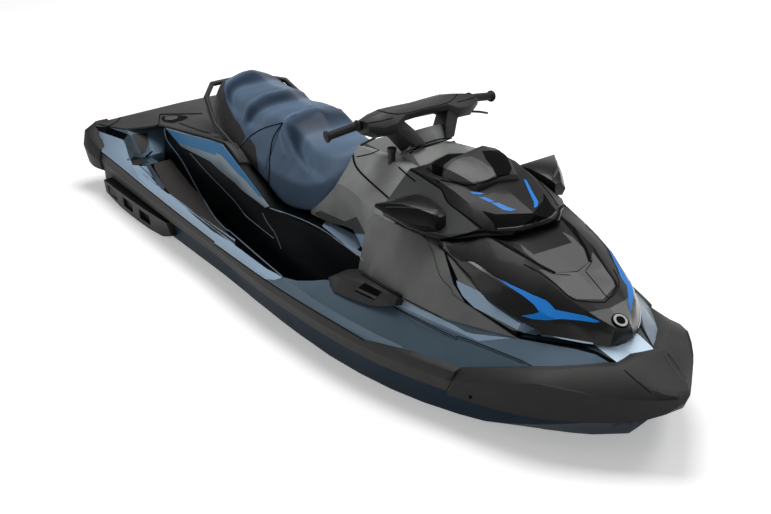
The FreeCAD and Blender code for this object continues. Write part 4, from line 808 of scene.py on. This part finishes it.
def dress_seats(front, rear):
    side = SEAT((330, 885), (475, 745), (525, 820), (545, 960), (570, 1160), (612, 1245), (560, 1200))
    panel("seat_side_insert", [front, rear], side, SEAT_INSERT, lift=0.0012)
    back = SEAT(
        (100, 180), (200, 60), (400, 40), (400, 78), (300, 115), (245, 180), (228, 280), (255, 400),
        (320, 540), (380, 620), (435, 730), (340, 880), (100, 600)
    )
    panel("seat_back_insert", [rear], back, SEAT_INSERT, lift=0.0012)
    cross = SEAT((335, 885), (460, 742), (560, 672), (660, 630), (785, 600))
    seam("seat_seam_cross", [front, rear], cross, width=1.0)
    side = SEAT((790, 598), (730, 680), (690, 760), (670, 870), (662, 1000), (652, 1250))
    seam("seat_seam_side", [front, rear], side, width=1.0)


# Blank badge on the hood's tip

BADGE_AT, BADGE_FACING = Vector((1.379, 0.0, 0.4265)), Vector((0.47, 0.0, 0.88))
BADGE_SIDES, BADGE_SLOPE = 48, 0.0012
# Each disc's name, radius, height, material and slot
BADGE_DISCS = (
    ("badge_rim", 0.034, 0.0025, SEAM_BLACK, "trim_black"),
    ("badge_ring", 0.029, 0.0035, BADGE_PALE, "steel"),
    ("badge_middle", 0.019, 0.0045, SEAM_BLACK, "trim_black"),
)


def add_badge():
    turn = BADGE_FACING.to_track_quat("Z", "Y").to_matrix().to_4x4()
    for name, radius, height, material, slot in BADGE_DISCS:
        bm = bmesh.new()
        bmesh.ops.create_cone(
            bm,
            cap_ends=True,
            segments=BADGE_SIDES,
            radius1=radius,
            radius2=radius - BADGE_SLOPE,
            depth=2 * height,
        )
        bm.transform(Matrix.Translation(BADGE_AT) @ turn)
        add_mesh(name, bm, material, HULL)


# Stripes, seams, two-tone areas, painted highlights and painted shade


def dress_hood():
    hood = ["hood"]
    side = BOW(
        (95, 350), (130, 420), (215, 480), (300, 490), (450, 590), (600, 665), (780, 745), (850, 815),
        (1000, 850), (1250, 800), (1400, 900), (1330, 1100), (700, 1100), (60, 700)
    )
    panel("hood_side_black", hood, side, HOOD_BLACK, slot="gloss_black", lift=0.0004)
    stripe = BOW(
        (455, 597), (520, 625), (600, 665), (700, 715), (780, 745), (812, 770), (855, 817), (960, 838),
        (1060, 858), (1162, 897), (1130, 905), (1020, 890), (900, 880), (790, 888), (700, 880), (620, 858),
        (700, 847), (745, 833), (712, 785), (640, 725), (540, 660)
    )
    panel("hood_stripe", hood, stripe, STRIPE_BLUE, slot="accent_blue")
    # The recess's floor and front in paler grey are painted light on the hood's facets
    floor = BOW(
        (600, 340), (660, 350), (810, 320), (890, 385), (960, 440), (1040, 550), (850, 565), (740, 500),
        (640, 420)
    )
    panel("hood_recess_floor", hood, floor, HOOD_HIGHLIGHT_GREY, slot="hood_gloss", lift=0.0006)
    wall = BOW(
        (720, 285), (810, 320), (960, 440), (1040, 550), (1110, 485), (1000, 330), (885, 190), (760, 245)
    )
    panel("hood_recess_wall", hood, wall, HOOD_BLACK, slot="gloss_black", lift=0.0005, side=PORT)
    front = BOW(
        (740, 540), (850, 566), (1060, 558), (1222, 735), (1180, 747), (1000, 745), (940, 715), (860, 640)
    )
    panel("hood_recess_front", hood, front, HOOD_HIGHLIGHT_GREY, slot="hood_gloss", lift=0.0006)
    add_badge()
    line = BOW((640, 505), (740, 560), (850, 640), (950, 730), (1010, 755), (1120, 765), (1210, 765))
    seam("hood_seam_side", hood, line)
    line = BOW((1060, 556), (1140, 650), (1225, 738), (1290, 640), (1250, 540))
    seam("hood_seam_front", hood, line, width=0.8, side=AS_SEEN)
    line = BOW((890, 185), (990, 310), (1060, 410), (1105, 480), (1060, 550))
    seam("hood_seam_upper", hood, line, width=0.7, side=PORT)
    seam("hood_strip", hood, BOW((385, 298), (500, 370), (640, 450), (760, 520), (855, 568)), width=2.4)
    line = BOW((135, 425), (215, 483), (300, 490), (450, 592), (600, 665), (780, 745))
    seam("hood_edge_line", hood, line, width=0.6)
    line = BOW(
        (70, 343), (150, 328), (350, 283), (440, 290), (560, 287), (700, 283), (760, 245), (880, 172),
        (930, 95)
    )
    seam("hood_lid_gap", ["hood", "storage_lid", "console", "bow_deck"], line, width=2.6)


def dress_bow():
    deck = ["bow_deck", "gunwale_starboard"]
    bow = deck + ["side_fairing_starboard"]
    band = BOW(
        (75, 350), (185, 600), (215, 715), (300, 800), (560, 955), (760, 990), (1112, 1052), (1321, 1213),
        (1290, 1213), (1128, 1121), (990, 1085), (614, 1015), (560, 985), (240, 770), (160, 640)
    )
    panel("bow_band", bow, band, GLOSS_BLACK, slot="gloss_black", lift=0.0006)
    # Pale strips along the bow's ridges are painted highlights
    strip = BOW(
        (180, 617), (250, 650), (480, 765), (700, 925), (760, 983), (720, 992), (640, 975), (300, 800),
        (225, 725), (190, 660)
    )
    panel("bow_ridge_highlight", bow, strip, HIGHLIGHT_PAINT_BLUE, slot="deck_paint", lift=0.0014)
    line = BOW((750, 983), (1110, 1040), (1115, 1054), (760, 997))
    panel("bow_ridge_highlight_line", bow + ["hood"], line, BOW_HIGHLIGHT, slot="deck_paint", lift=0.0014)
    wide = NOSE((610, 622), (690, 612), (760, 648), (830, 645), (890, 605), (1040, 765), (880, 830))
    panel("bow_wide_highlight", deck, wide, BOW_HIGHLIGHT, slot="deck_paint", lift=0.0014)
    # The ledge's paler blue is painted light on its upward face
    ledge = (
        MIDDLE((1155, 735), (1200, 705), (1568, 885))
        + BOW((240, 965), (290, 980), (580, 1012), (990, 1083))
    )
    ledge += NOSE((640, 712), (800, 812), (720, 820), (180, 828), (130, 825), (0, 772))
    ledge += BOW((640, 1165), (420, 1075), (200, 990), (0, 905)) + MIDDLE((1160, 752))
    panel("deck_ledge", deck, ledge, LEDGE_LIT_BLUE, slot="deck_paint", lift=0.0005)
    # Painted highlight along the near ledge under the fairing
    near = (
        MIDDLE((1155, 735), (1200, 705), (1568, 885))
        + BOW((240, 965), (290, 980), (560, 1010), (330, 1030), (0, 885))
    )
    panel("deck_ledge_highlight", deck, near, HIGHLIGHT_PAINT_BLUE, slot="deck_paint", lift=0.0008)
    line = (
        MIDDLE((1160, 756), (1360, 860), (1568, 962))
        + BOW((200, 1000), (420, 1082), (640, 1172))
        + NOSE((130, 832), (180, 836), (450, 830), (800, 816))
    )
    seam("deck_groove", deck, line, width=0.7)
    line = MIDDLE((1175, 770), (1360, 872), (1568, 976)) + BOW((200, 1014), (420, 1096), (640, 1186))
    seam("deck_groove_lower", deck, line, width=0.5)
    middle = NOSE((890, 600), (1040, 765), (1150, 705), (1010, 480), (985, 300), (940, 200), (900, 450))
    panel("bow_middle", deck, middle, DEEP_BLUE, slot="deck_paint", lift=0.0006, side=PORT)


def dress_cowl():
    lid = ["storage_lid"]
    grey = COWL(
        (395, 470), (430, 530), (560, 600), (650, 660), (700, 690), (730, 765), (940, 940), (780, 1000),
        (600, 960), (300, 900), (340, 740), (200, 500)
    )
    panel("lid_side_grey", lid, grey, LID_PANEL, body=LID, slot="grey_panel", lift=0.0005)
    mouth = COWL(
        (962, 822), (1050, 845), (1290, 838), (1330, 800), (1340, 850), (1300, 900), (1180, 925),
        (1050, 948), (1035, 900)
    )
    panel("lid_mouth", lid, mouth, SEAM_BLACK, body=LID, slot="gloss_black", lift=0.0006)
    # Thin pale line on the lip is a painted highlight
    lip = ribbon(COWL((1060, 940), (1180, 930), (1285, 908)), width=1.2)
    panel("lid_lip", lid, lip, HOOD_HIGHLIGHT_GREY, body=LID, slot="hood_gloss", lift=0.0012)
    dashes = (
        COWL((878, 697), (930, 700), (978, 712), (945, 718), (900, 712)),
        COWL((935, 733), (985, 735), (1042, 762), (1005, 765)),
        COWL((1015, 768), (1070, 770), (1125, 797), (1185, 815), (1150, 826), (1100, 818)),
        COWL(
            (1232, 618), (1250, 622), (1285, 690), (1328, 765), (1322, 795), (1300, 803), (1298, 765),
            (1268, 700)
        ),
    )
    for number, outline in enumerate(dashes, 1):
        name = f"lid_stripe_{number}"
        panel(name, lid, outline, STRIPE_BLUE, body=LID, slot="accent_blue", lift=0.001, side=AS_SEEN)
    line = COWL(
        (395, 468), (480, 535), (560, 590), (650, 650), (700, 690), (740, 770), (860, 860), (960, 935)
    )
    seam("lid_seam_side", lid, line, width=1.4, body=LID, slot="hood_gloss")
    line = COWL((122, 370), (120, 470), (150, 550), (250, 650), (372, 757))
    seam("console_seam_rear", ["console"], line, width=1.9)
    seam("console_seam_top", ["console"], COWL((140, 470), (240, 447), (325, 408)))
    seam("console_slot", ["console", "storage_lid"], COWL((415, 535), (470, 585), (528, 632)), width=1.4)
    neck = COWL((490, 448), (540, 405), (620, 372), (700, 352), (795, 342))
    seam("neck_seam", ["neck_cover"], neck, width=1.3, body=BARS)
    seam("neck_foot_seam", ["neck_base"], neck, width=1.3)


def dress_stern():
    band = (
        STERN((885, 335), (1420, 470))
        + SEAT(
            (200, 795), (300, 905), (460, 1095), (650, 1340), (560, 1290), (440, 1150), (360, 1080),
            (205, 905), (150, 880)
        )
    )
    band += STERN((1380, 590), (1080, 490), (1000, 460), (930, 390))
    panel("rear_band", ["accent_panels"], band, BAND_BLUE, slot="accent_blue")
    gunwale = ["gunwale_starboard", "stern_deck", "hull"]
    # Painted highlights on the stern quarter and along the footwell's rim
    quarter = STERN(
        (165, 330), (470, 440), (500, 500), (560, 680), (660, 880), (430, 690), (195, 505), (165, 400)
    )
    both = gunwale + ["rub_rail_starboard"]
    panel("quarter_highlight", both, quarter, HIGHLIGHT_PAINT_BLUE, slot="deck_paint", lift=0.0012, even=True)
    strip = STERN(
        (560, 690), (700, 700), (800, 880), (1200, 1170), (1568, 1420), (1568, 1590), (1372, 1440),
        (1000, 1150), (660, 880)
    )
    well = ["gunwale_starboard", "rub_rail_starboard", "footwell_mats", "stern_deck"]
    panel("well_rim_highlight", well, strip, HIGHLIGHT_PAINT_BLUE, slot="deck_paint", lift=0.0016)
    near = MIDDLE((0, 270), (280, 470), (440, 575), (390, 590), (320, 580), (0, 350))
    rail = ["gunwale_starboard", "rub_rail_starboard"]
    panel("well_rim_highlight_front", rail, near, HIGHLIGHT_PAINT_BLUE, slot="deck_paint", lift=0.0016)
    top = MIDDLE(
        (320, 578), (390, 588), (450, 578), (760, 590), (1000, 700), (1568, 1000), (1568, 1120), (980, 978),
        (600, 755), (380, 620)
    )
    panel("rail_top_blue", ["rub_rail_starboard"], top, DECK_BLUE, slot="deck_paint", lift=0.0012)
    line = MIDDLE((0, 352), (320, 580), (600, 758), (980, 982))
    seam("rail_top_line", rail, line, width=1.1, lift=0.0022)
    mat = STERN(
        (770, 620), (850, 560), (950, 540), (1060, 700), (1200, 930), (1350, 1190), (1568, 1440),
        (1568, 1560), (1300, 1340), (1000, 1060), (880, 900), (780, 720)
    )
    panel("mat_skin", ["footwell_mats"], mat, MAT, slot="mat", lift=0.0006)


def dress_well():
    everything = [name for name, body in BODY_OF.items() if body == HULL]
    # Thin pale lines along the footwell's edges and walls are painted highlights
    glint = {"material": EDGE_HIGHLIGHT, "slot": "deck_paint", "lift": 0.002}
    foot_line = (
        STERN((880, 330), (905, 440), (1050, 640), (1200, 915), (1350, 1175), (1480, 1320))
        + MIDDLE((100, 275), (250, 405), (440, 568))
    )
    seam("well_edge_highlight", everything, foot_line, width=1.1, **glint)
    line = STERN((1130, 570), (1300, 760), (1568, 1040)) + MIDDLE((200, 165), (290, 240), (385, 315))
    seam("well_wall_highlight", everything, line, width=0.6, **glint)
    line = MIDDLE((312, 150), (345, 215), (395, 285), (435, 385))
    seam("well_arc_highlight", everything, line, width=1.0, material=DECK_BLUE, slot="deck_paint", lift=0.002)
    line = MIDDLE((360, 118), (560, 192), (700, 262), (860, 372), (975, 462))
    seam("pedestal_edge_highlight", everything, line, **glint)
    # Paler blue on the shelf under the seat is painted light from above
    blue = MIDDLE((700, 235), (725, 200), (900, 285), (975, 292), (1012, 380), (978, 460), (860, 368))
    inside = ["pedestal", "console", "hull", "stern_deck", "bow_deck", "gunwale_starboard"]
    panel("well_blue_side", inside, blue, HIGHLIGHT_PAINT_BLUE, slot="deck_paint", lift=0.0012)


def dress_quarters():
    gunwale = ["gunwale_starboard", "stern_deck", "hull"]
    # Darker blue in the valley is painted shade
    valley = STERN(
        (470, 385), (540, 390), (680, 600), (880, 900), (870, 930), (800, 880), (700, 700), (560, 650),
        (500, 480)
    )
    panel("quarter_shaded_valley", gunwale + ["footwell_mats"], valley, DEEP_BLUE, slot="deck_paint", lift=0.0009)
    # Black band above the pale quarter is painted shade in the gap
    gap = STERN((150, 300), (330, 318), (520, 385), (480, 440), (165, 330))
    panel("quarter_shaded_gap", gunwale, gap, GLOSS_BLACK, slot="gloss_black", lift=0.001)
    pocket = STERN((555, 390), (700, 375), (722, 480), (690, 560), (655, 590))
    panel("quarter_pocket", gunwale, pocket, TRIM_BLACK, lift=0.0012)
    # The column's paler blue is painted light on its lit face
    column = STERN(
        (720, 365), (840, 325), (880, 335), (905, 440), (850, 560), (745, 625), (690, 592), (740, 545),
        (725, 480)
    )
    panel("quarter_column", gunwale, column, LEDGE_LIT_BLUE, slot="deck_paint", lift=0.0012)
    slot_mark = STERN((690, 598), (750, 550), (765, 556), (720, 600), (695, 612))
    panel("quarter_slot", gunwale, slot_mark, SEAM_BLACK, lift=0.0018)
    line = STERN((190, 503), (430, 690), (660, 882), (1000, 1152), (1372, 1442))
    seam("rail_upper_line", ["rub_rail_starboard", "gunwale_starboard"], line, lift=0.002)
    seam("quarter_crease", gunwale, STERN((500, 500), (560, 690), (600, 790), (660, 880)), width=0.6)


def dress_platform():
    cover = ["platform_cover"]
    seam("cover_seam_rear", cover, STERN((300, 320), (400, 270), (450, 215)))
    line = STERN(
        (470, 380), (560, 362), (720, 332), (815, 290), (830, 205), (860, 190), (1060, 187), (1250, 183)
    )
    seam("cover_seam_edge", cover, line, width=1.0)
    seam("cover_seam_latch", cover, STERN((1020, 275), (1180, 335), (1330, 380)))
    line = STERN((1290, 70), (1310, 180), (1380, 320), (1470, 420), (1568, 490))
    seam("cover_rail_outer", cover, line, width=1.2)
    seam("cover_rail_inner", cover, STERN((1370, 230), (1400, 310), (1480, 380), (1568, 440)), width=0.7)
    latch = STERN(
        (860, 210), (960, 195), (1090, 205), (1110, 225), (1050, 250), (960, 275), (870, 265), (845, 235)
    )
    panel("cover_latch_recess", cover, latch, SEAM_BLACK, side=AS_SEEN)
    latch = STERN((885, 215), (960, 203), (1010, 212), (1000, 235), (950, 250), (880, 245))
    panel("cover_latch", cover, latch, DARK_PANEL, slot="platform_grey", lift=0.0022, side=AS_SEEN)


def dress_bumper():
    bumper = ["front_bumper"]
    shade_area = (
        [(448, 393), (453, 382)]
        + NOSE(
            (0, 970), (220, 965), (480, 1020), (760, 1090), (1000, 1105), (1290, 1085), (1420, 960),
            (1470, 1000), (1400, 1250), (900, 1330), (0, 1260)
        )
        + [(455, 410)]
    )
    panel("bumper_lower", bumper, shade_area, BUMPER_SHADE, slot="bumper_black", lift=0.0005)
    panel("bumper_bolt", bumper, circle(470.5, 397, 1.9), SEAM_BLACK)
    line = [(446, 392), (450, 384), (455, 374)]
    seam("bumper_end", ["front_bumper", "rub_rail_starboard"], line, width=0.8)
    seam("bumper_crease", bumper, NOSE((880, 845), (1000, 950), (1110, 1040)), width=0.7)
    # Pale line along the bumper's nose crease is a painted highlight
    line = NOSE((1215, 705), (1300, 840), (1390, 960))
    seam("bumper_nose_highlight", bumper, line, width=0.7, material=PLATFORM_GREY, side=AS_SEEN)


def dress_controls():
    gauge = ["gauge", "storage_lid"]
    left = COWL(
        (640, 610), (632, 500), (680, 435), (750, 410), (825, 420), (838, 450), (765, 480), (712, 520),
        (700, 580), (682, 640)
    )
    panel("gauge_hood_left", gauge, left, SEAM_BLACK, body=LID, slot="gloss_black", side=AS_SEEN)
    right = COWL(
        (960, 432), (1070, 425), (1125, 470), (1155, 545), (1140, 585), (1060, 605), (1035, 545), (990, 490)
    )
    panel("gauge_hood_right", gauge, right, SEAM_BLACK, body=LID, slot="gloss_black", side=AS_SEEN)
    dome = COWL(
        (705, 600), (718, 560), (760, 510), (830, 472), (890, 468), (960, 500), (1030, 550), (1048, 590),
        (1000, 618), (900, 638), (790, 628)
    )
    panel("gauge_dome", gauge, dome, DOME_GREY, body=LID, slot="grey_panel", side=AS_SEEN)
    line = COWL((690, 620), (780, 640), (880, 655), (990, 630), (1060, 605))
    seam("gauge_foot", gauge, line, width=1.3, body=LID, side=AS_SEEN)
    pod = ["pod"]
    seam("pod_seam_top", pod, COWL((270, 165), (420, 190), (600, 150), (690, 120)), width=0.7, body=BARS)
    seam("pod_seam_side", pod, COWL((190, 255), (300, 235), (380, 215)), width=0.7, body=BARS)
    # Lighter band on the mirror is a painted reflection
    painted_reflection = COWL((330, 798), (480, 800), (670, 822))
    seam("mirror_painted_reflection", ["mirrors"], painted_reflection, width=1.3, material=DARK_PANEL, slot="gloss_black", body=LID)
    slot = MIDDLE((910, 660), (980, 605), (1090, 665), (1040, 722))
    panel("vent_slot", ["deck_vents"], slot, SEAM_BLACK)
    bar = MIDDLE((935, 640), (1065, 700), (1050, 712), (920, 652))
    panel("vent_bar", ["deck_vents"], bar, DARK_PANEL, lift=0.0016)
    # Darker grey on the knee area is painted shade
    knee = MIDDLE((648, 150), (690, 135), (850, 205), (925, 175), (985, 288), (900, 282), (720, 208))
    panel("knee_shade", ["console"], knee, DARK_PANEL, slot="grey_panel", lift=0.0006)
    line = MIDDLE((955, 548), (1200, 692), (1568, 878))
    seam("fairing_foot", ["side_fairing_starboard", "gunwale_starboard", "deck_vents"], line, width=1.0)
    fairing = ["side_fairing_starboard"]
    # Dark line along the fairing's crease is painted shade
    line = (
        MIDDLE((1360, 288), (1420, 400), (1470, 560), (1540, 640))
        + BOW((170, 720), (330, 830), (580, 1000))
    )
    seam("fairing_shaded_crease", fairing, line, width=0.7, material=DARK_PANEL, slot="grey_panel")


def add_details():
    dress_controls()
    dress_hood()
    dress_bow()
    dress_cowl()
    dress_stern()
    dress_well()
    dress_quarters()
    dress_platform()
    dress_bumper()


# Light and floor

WORLD_HORIZON, WORLD_TOP = 0.8, 0.22
HORIZON_ENDS, TOP_BEGINS = 0.02, 0.55
FLOOR_REACH = 30
FLOOR_GLOW, FLOOR_MATTE = 0.33, 0.95
FLOOR_GREY, FLOOR_ROUGHNESS = 0.8, 0.9
# Each lamp's name, place, target, sides and power
LAMPS = (
    ("key", (-1.0, 0.9, 5.5), (0, 0, 0.3), (3, 3), 230),
    ("rim", (1.5, 3.5, 4.5), (0.5, 0, 0.3), (3, 2), 70),
)


def add_lamp(name, place, target, sides, power):
    data = bpy.data.lights.new(name, "AREA")
    data.shape = "RECTANGLE"
    data.size, data.size_y = sides
    data.energy = power
    lamp = bpy.data.objects.new(name, data)
    lamp.location = place
    lamp.rotation_euler = (Vector(target) - Vector(place)).to_track_quat("-Z", "Y").to_euler()
    bpy.context.scene.collection.objects.link(lamp)


def add_world():
    """A studio with pale walls and a dimmer ceiling."""
    world = bpy.data.worlds.new("world")
    bpy.context.scene.world = world
    world.use_nodes = True
    tree = world.node_tree
    background = tree.nodes["Background"]
    place = tree.nodes.new("ShaderNodeTexCoord")
    split = tree.nodes.new("ShaderNodeSeparateXYZ")
    level = tree.nodes.new("ShaderNodeMapRange")
    level.interpolation_type = "SMOOTHSTEP"
    level.inputs["From Min"].default_value = HORIZON_ENDS
    level.inputs["From Max"].default_value = TOP_BEGINS
    level.inputs["To Min"].default_value = WORLD_HORIZON
    level.inputs["To Max"].default_value = WORLD_TOP
    tree.links.new(place.outputs["Generated"], split.inputs[0])
    tree.links.new(split.outputs["Z"], level.inputs["Value"])
    background.inputs["Color"].default_value = (1, 1, 1, 1)
    tree.links.new(level.outputs[0], background.inputs["Strength"])


def grey(level):
    return (level, level, level, 1)


def add_floor():
    """A pale floor that looks brighter to the camera and in reflections than it lights the part."""
    mesh = bpy.data.meshes.new("floor")
    corners = [(x * FLOOR_REACH, y * FLOOR_REACH, 0) for x, y in ((-1, -1), (1, -1), (1, 1), (-1, 1))]
    mesh.from_pydata(corners, [], [(0, 1, 2, 3)])
    floor = bpy.data.objects.new("floor", mesh)
    bpy.context.scene.collection.objects.link(floor)
    n = Nodes("floor")
    n.set(Base_Color=grey(FLOOR_GREY), Roughness=FLOOR_ROUGHNESS, Specular_IOR_Level=0.0)
    seen = n.add("LightPath").outputs
    kinds = seen["Is Camera Ray"]
    for kind in ("Is Glossy Ray", "Is Transmission Ray"):
        kinds = n.add("Math", {0: kinds, 1: seen[kind]}, operation="MAXIMUM").outputs[0]
    matte = n.add("BsdfDiffuse", {"Color": grey(FLOOR_MATTE)}).outputs[0]
    glow = n.add("Emission", {"Color": grey(1), "Strength": FLOOR_GLOW}).outputs[0]
    both = n.add("AddShader", {0: matte, 1: glow}).outputs[0]
    mix = n.add("MixShader", {0: kinds, 1: n.shader.outputs[0], 2: both}).outputs[0]
    n.tree.links.new(mix, n.tree.nodes["Material Output"].inputs["Surface"])
    floor.data.materials.append(n.material)


def main():
    bpy.context.scene.view_settings.view_transform = "Standard"
    add_camera()
    add_world()
    add_floor()
    for lamp in LAMPS:
        add_lamp(*lamp)
    dress_nodes()
    make_seats()
    add_details()


main()
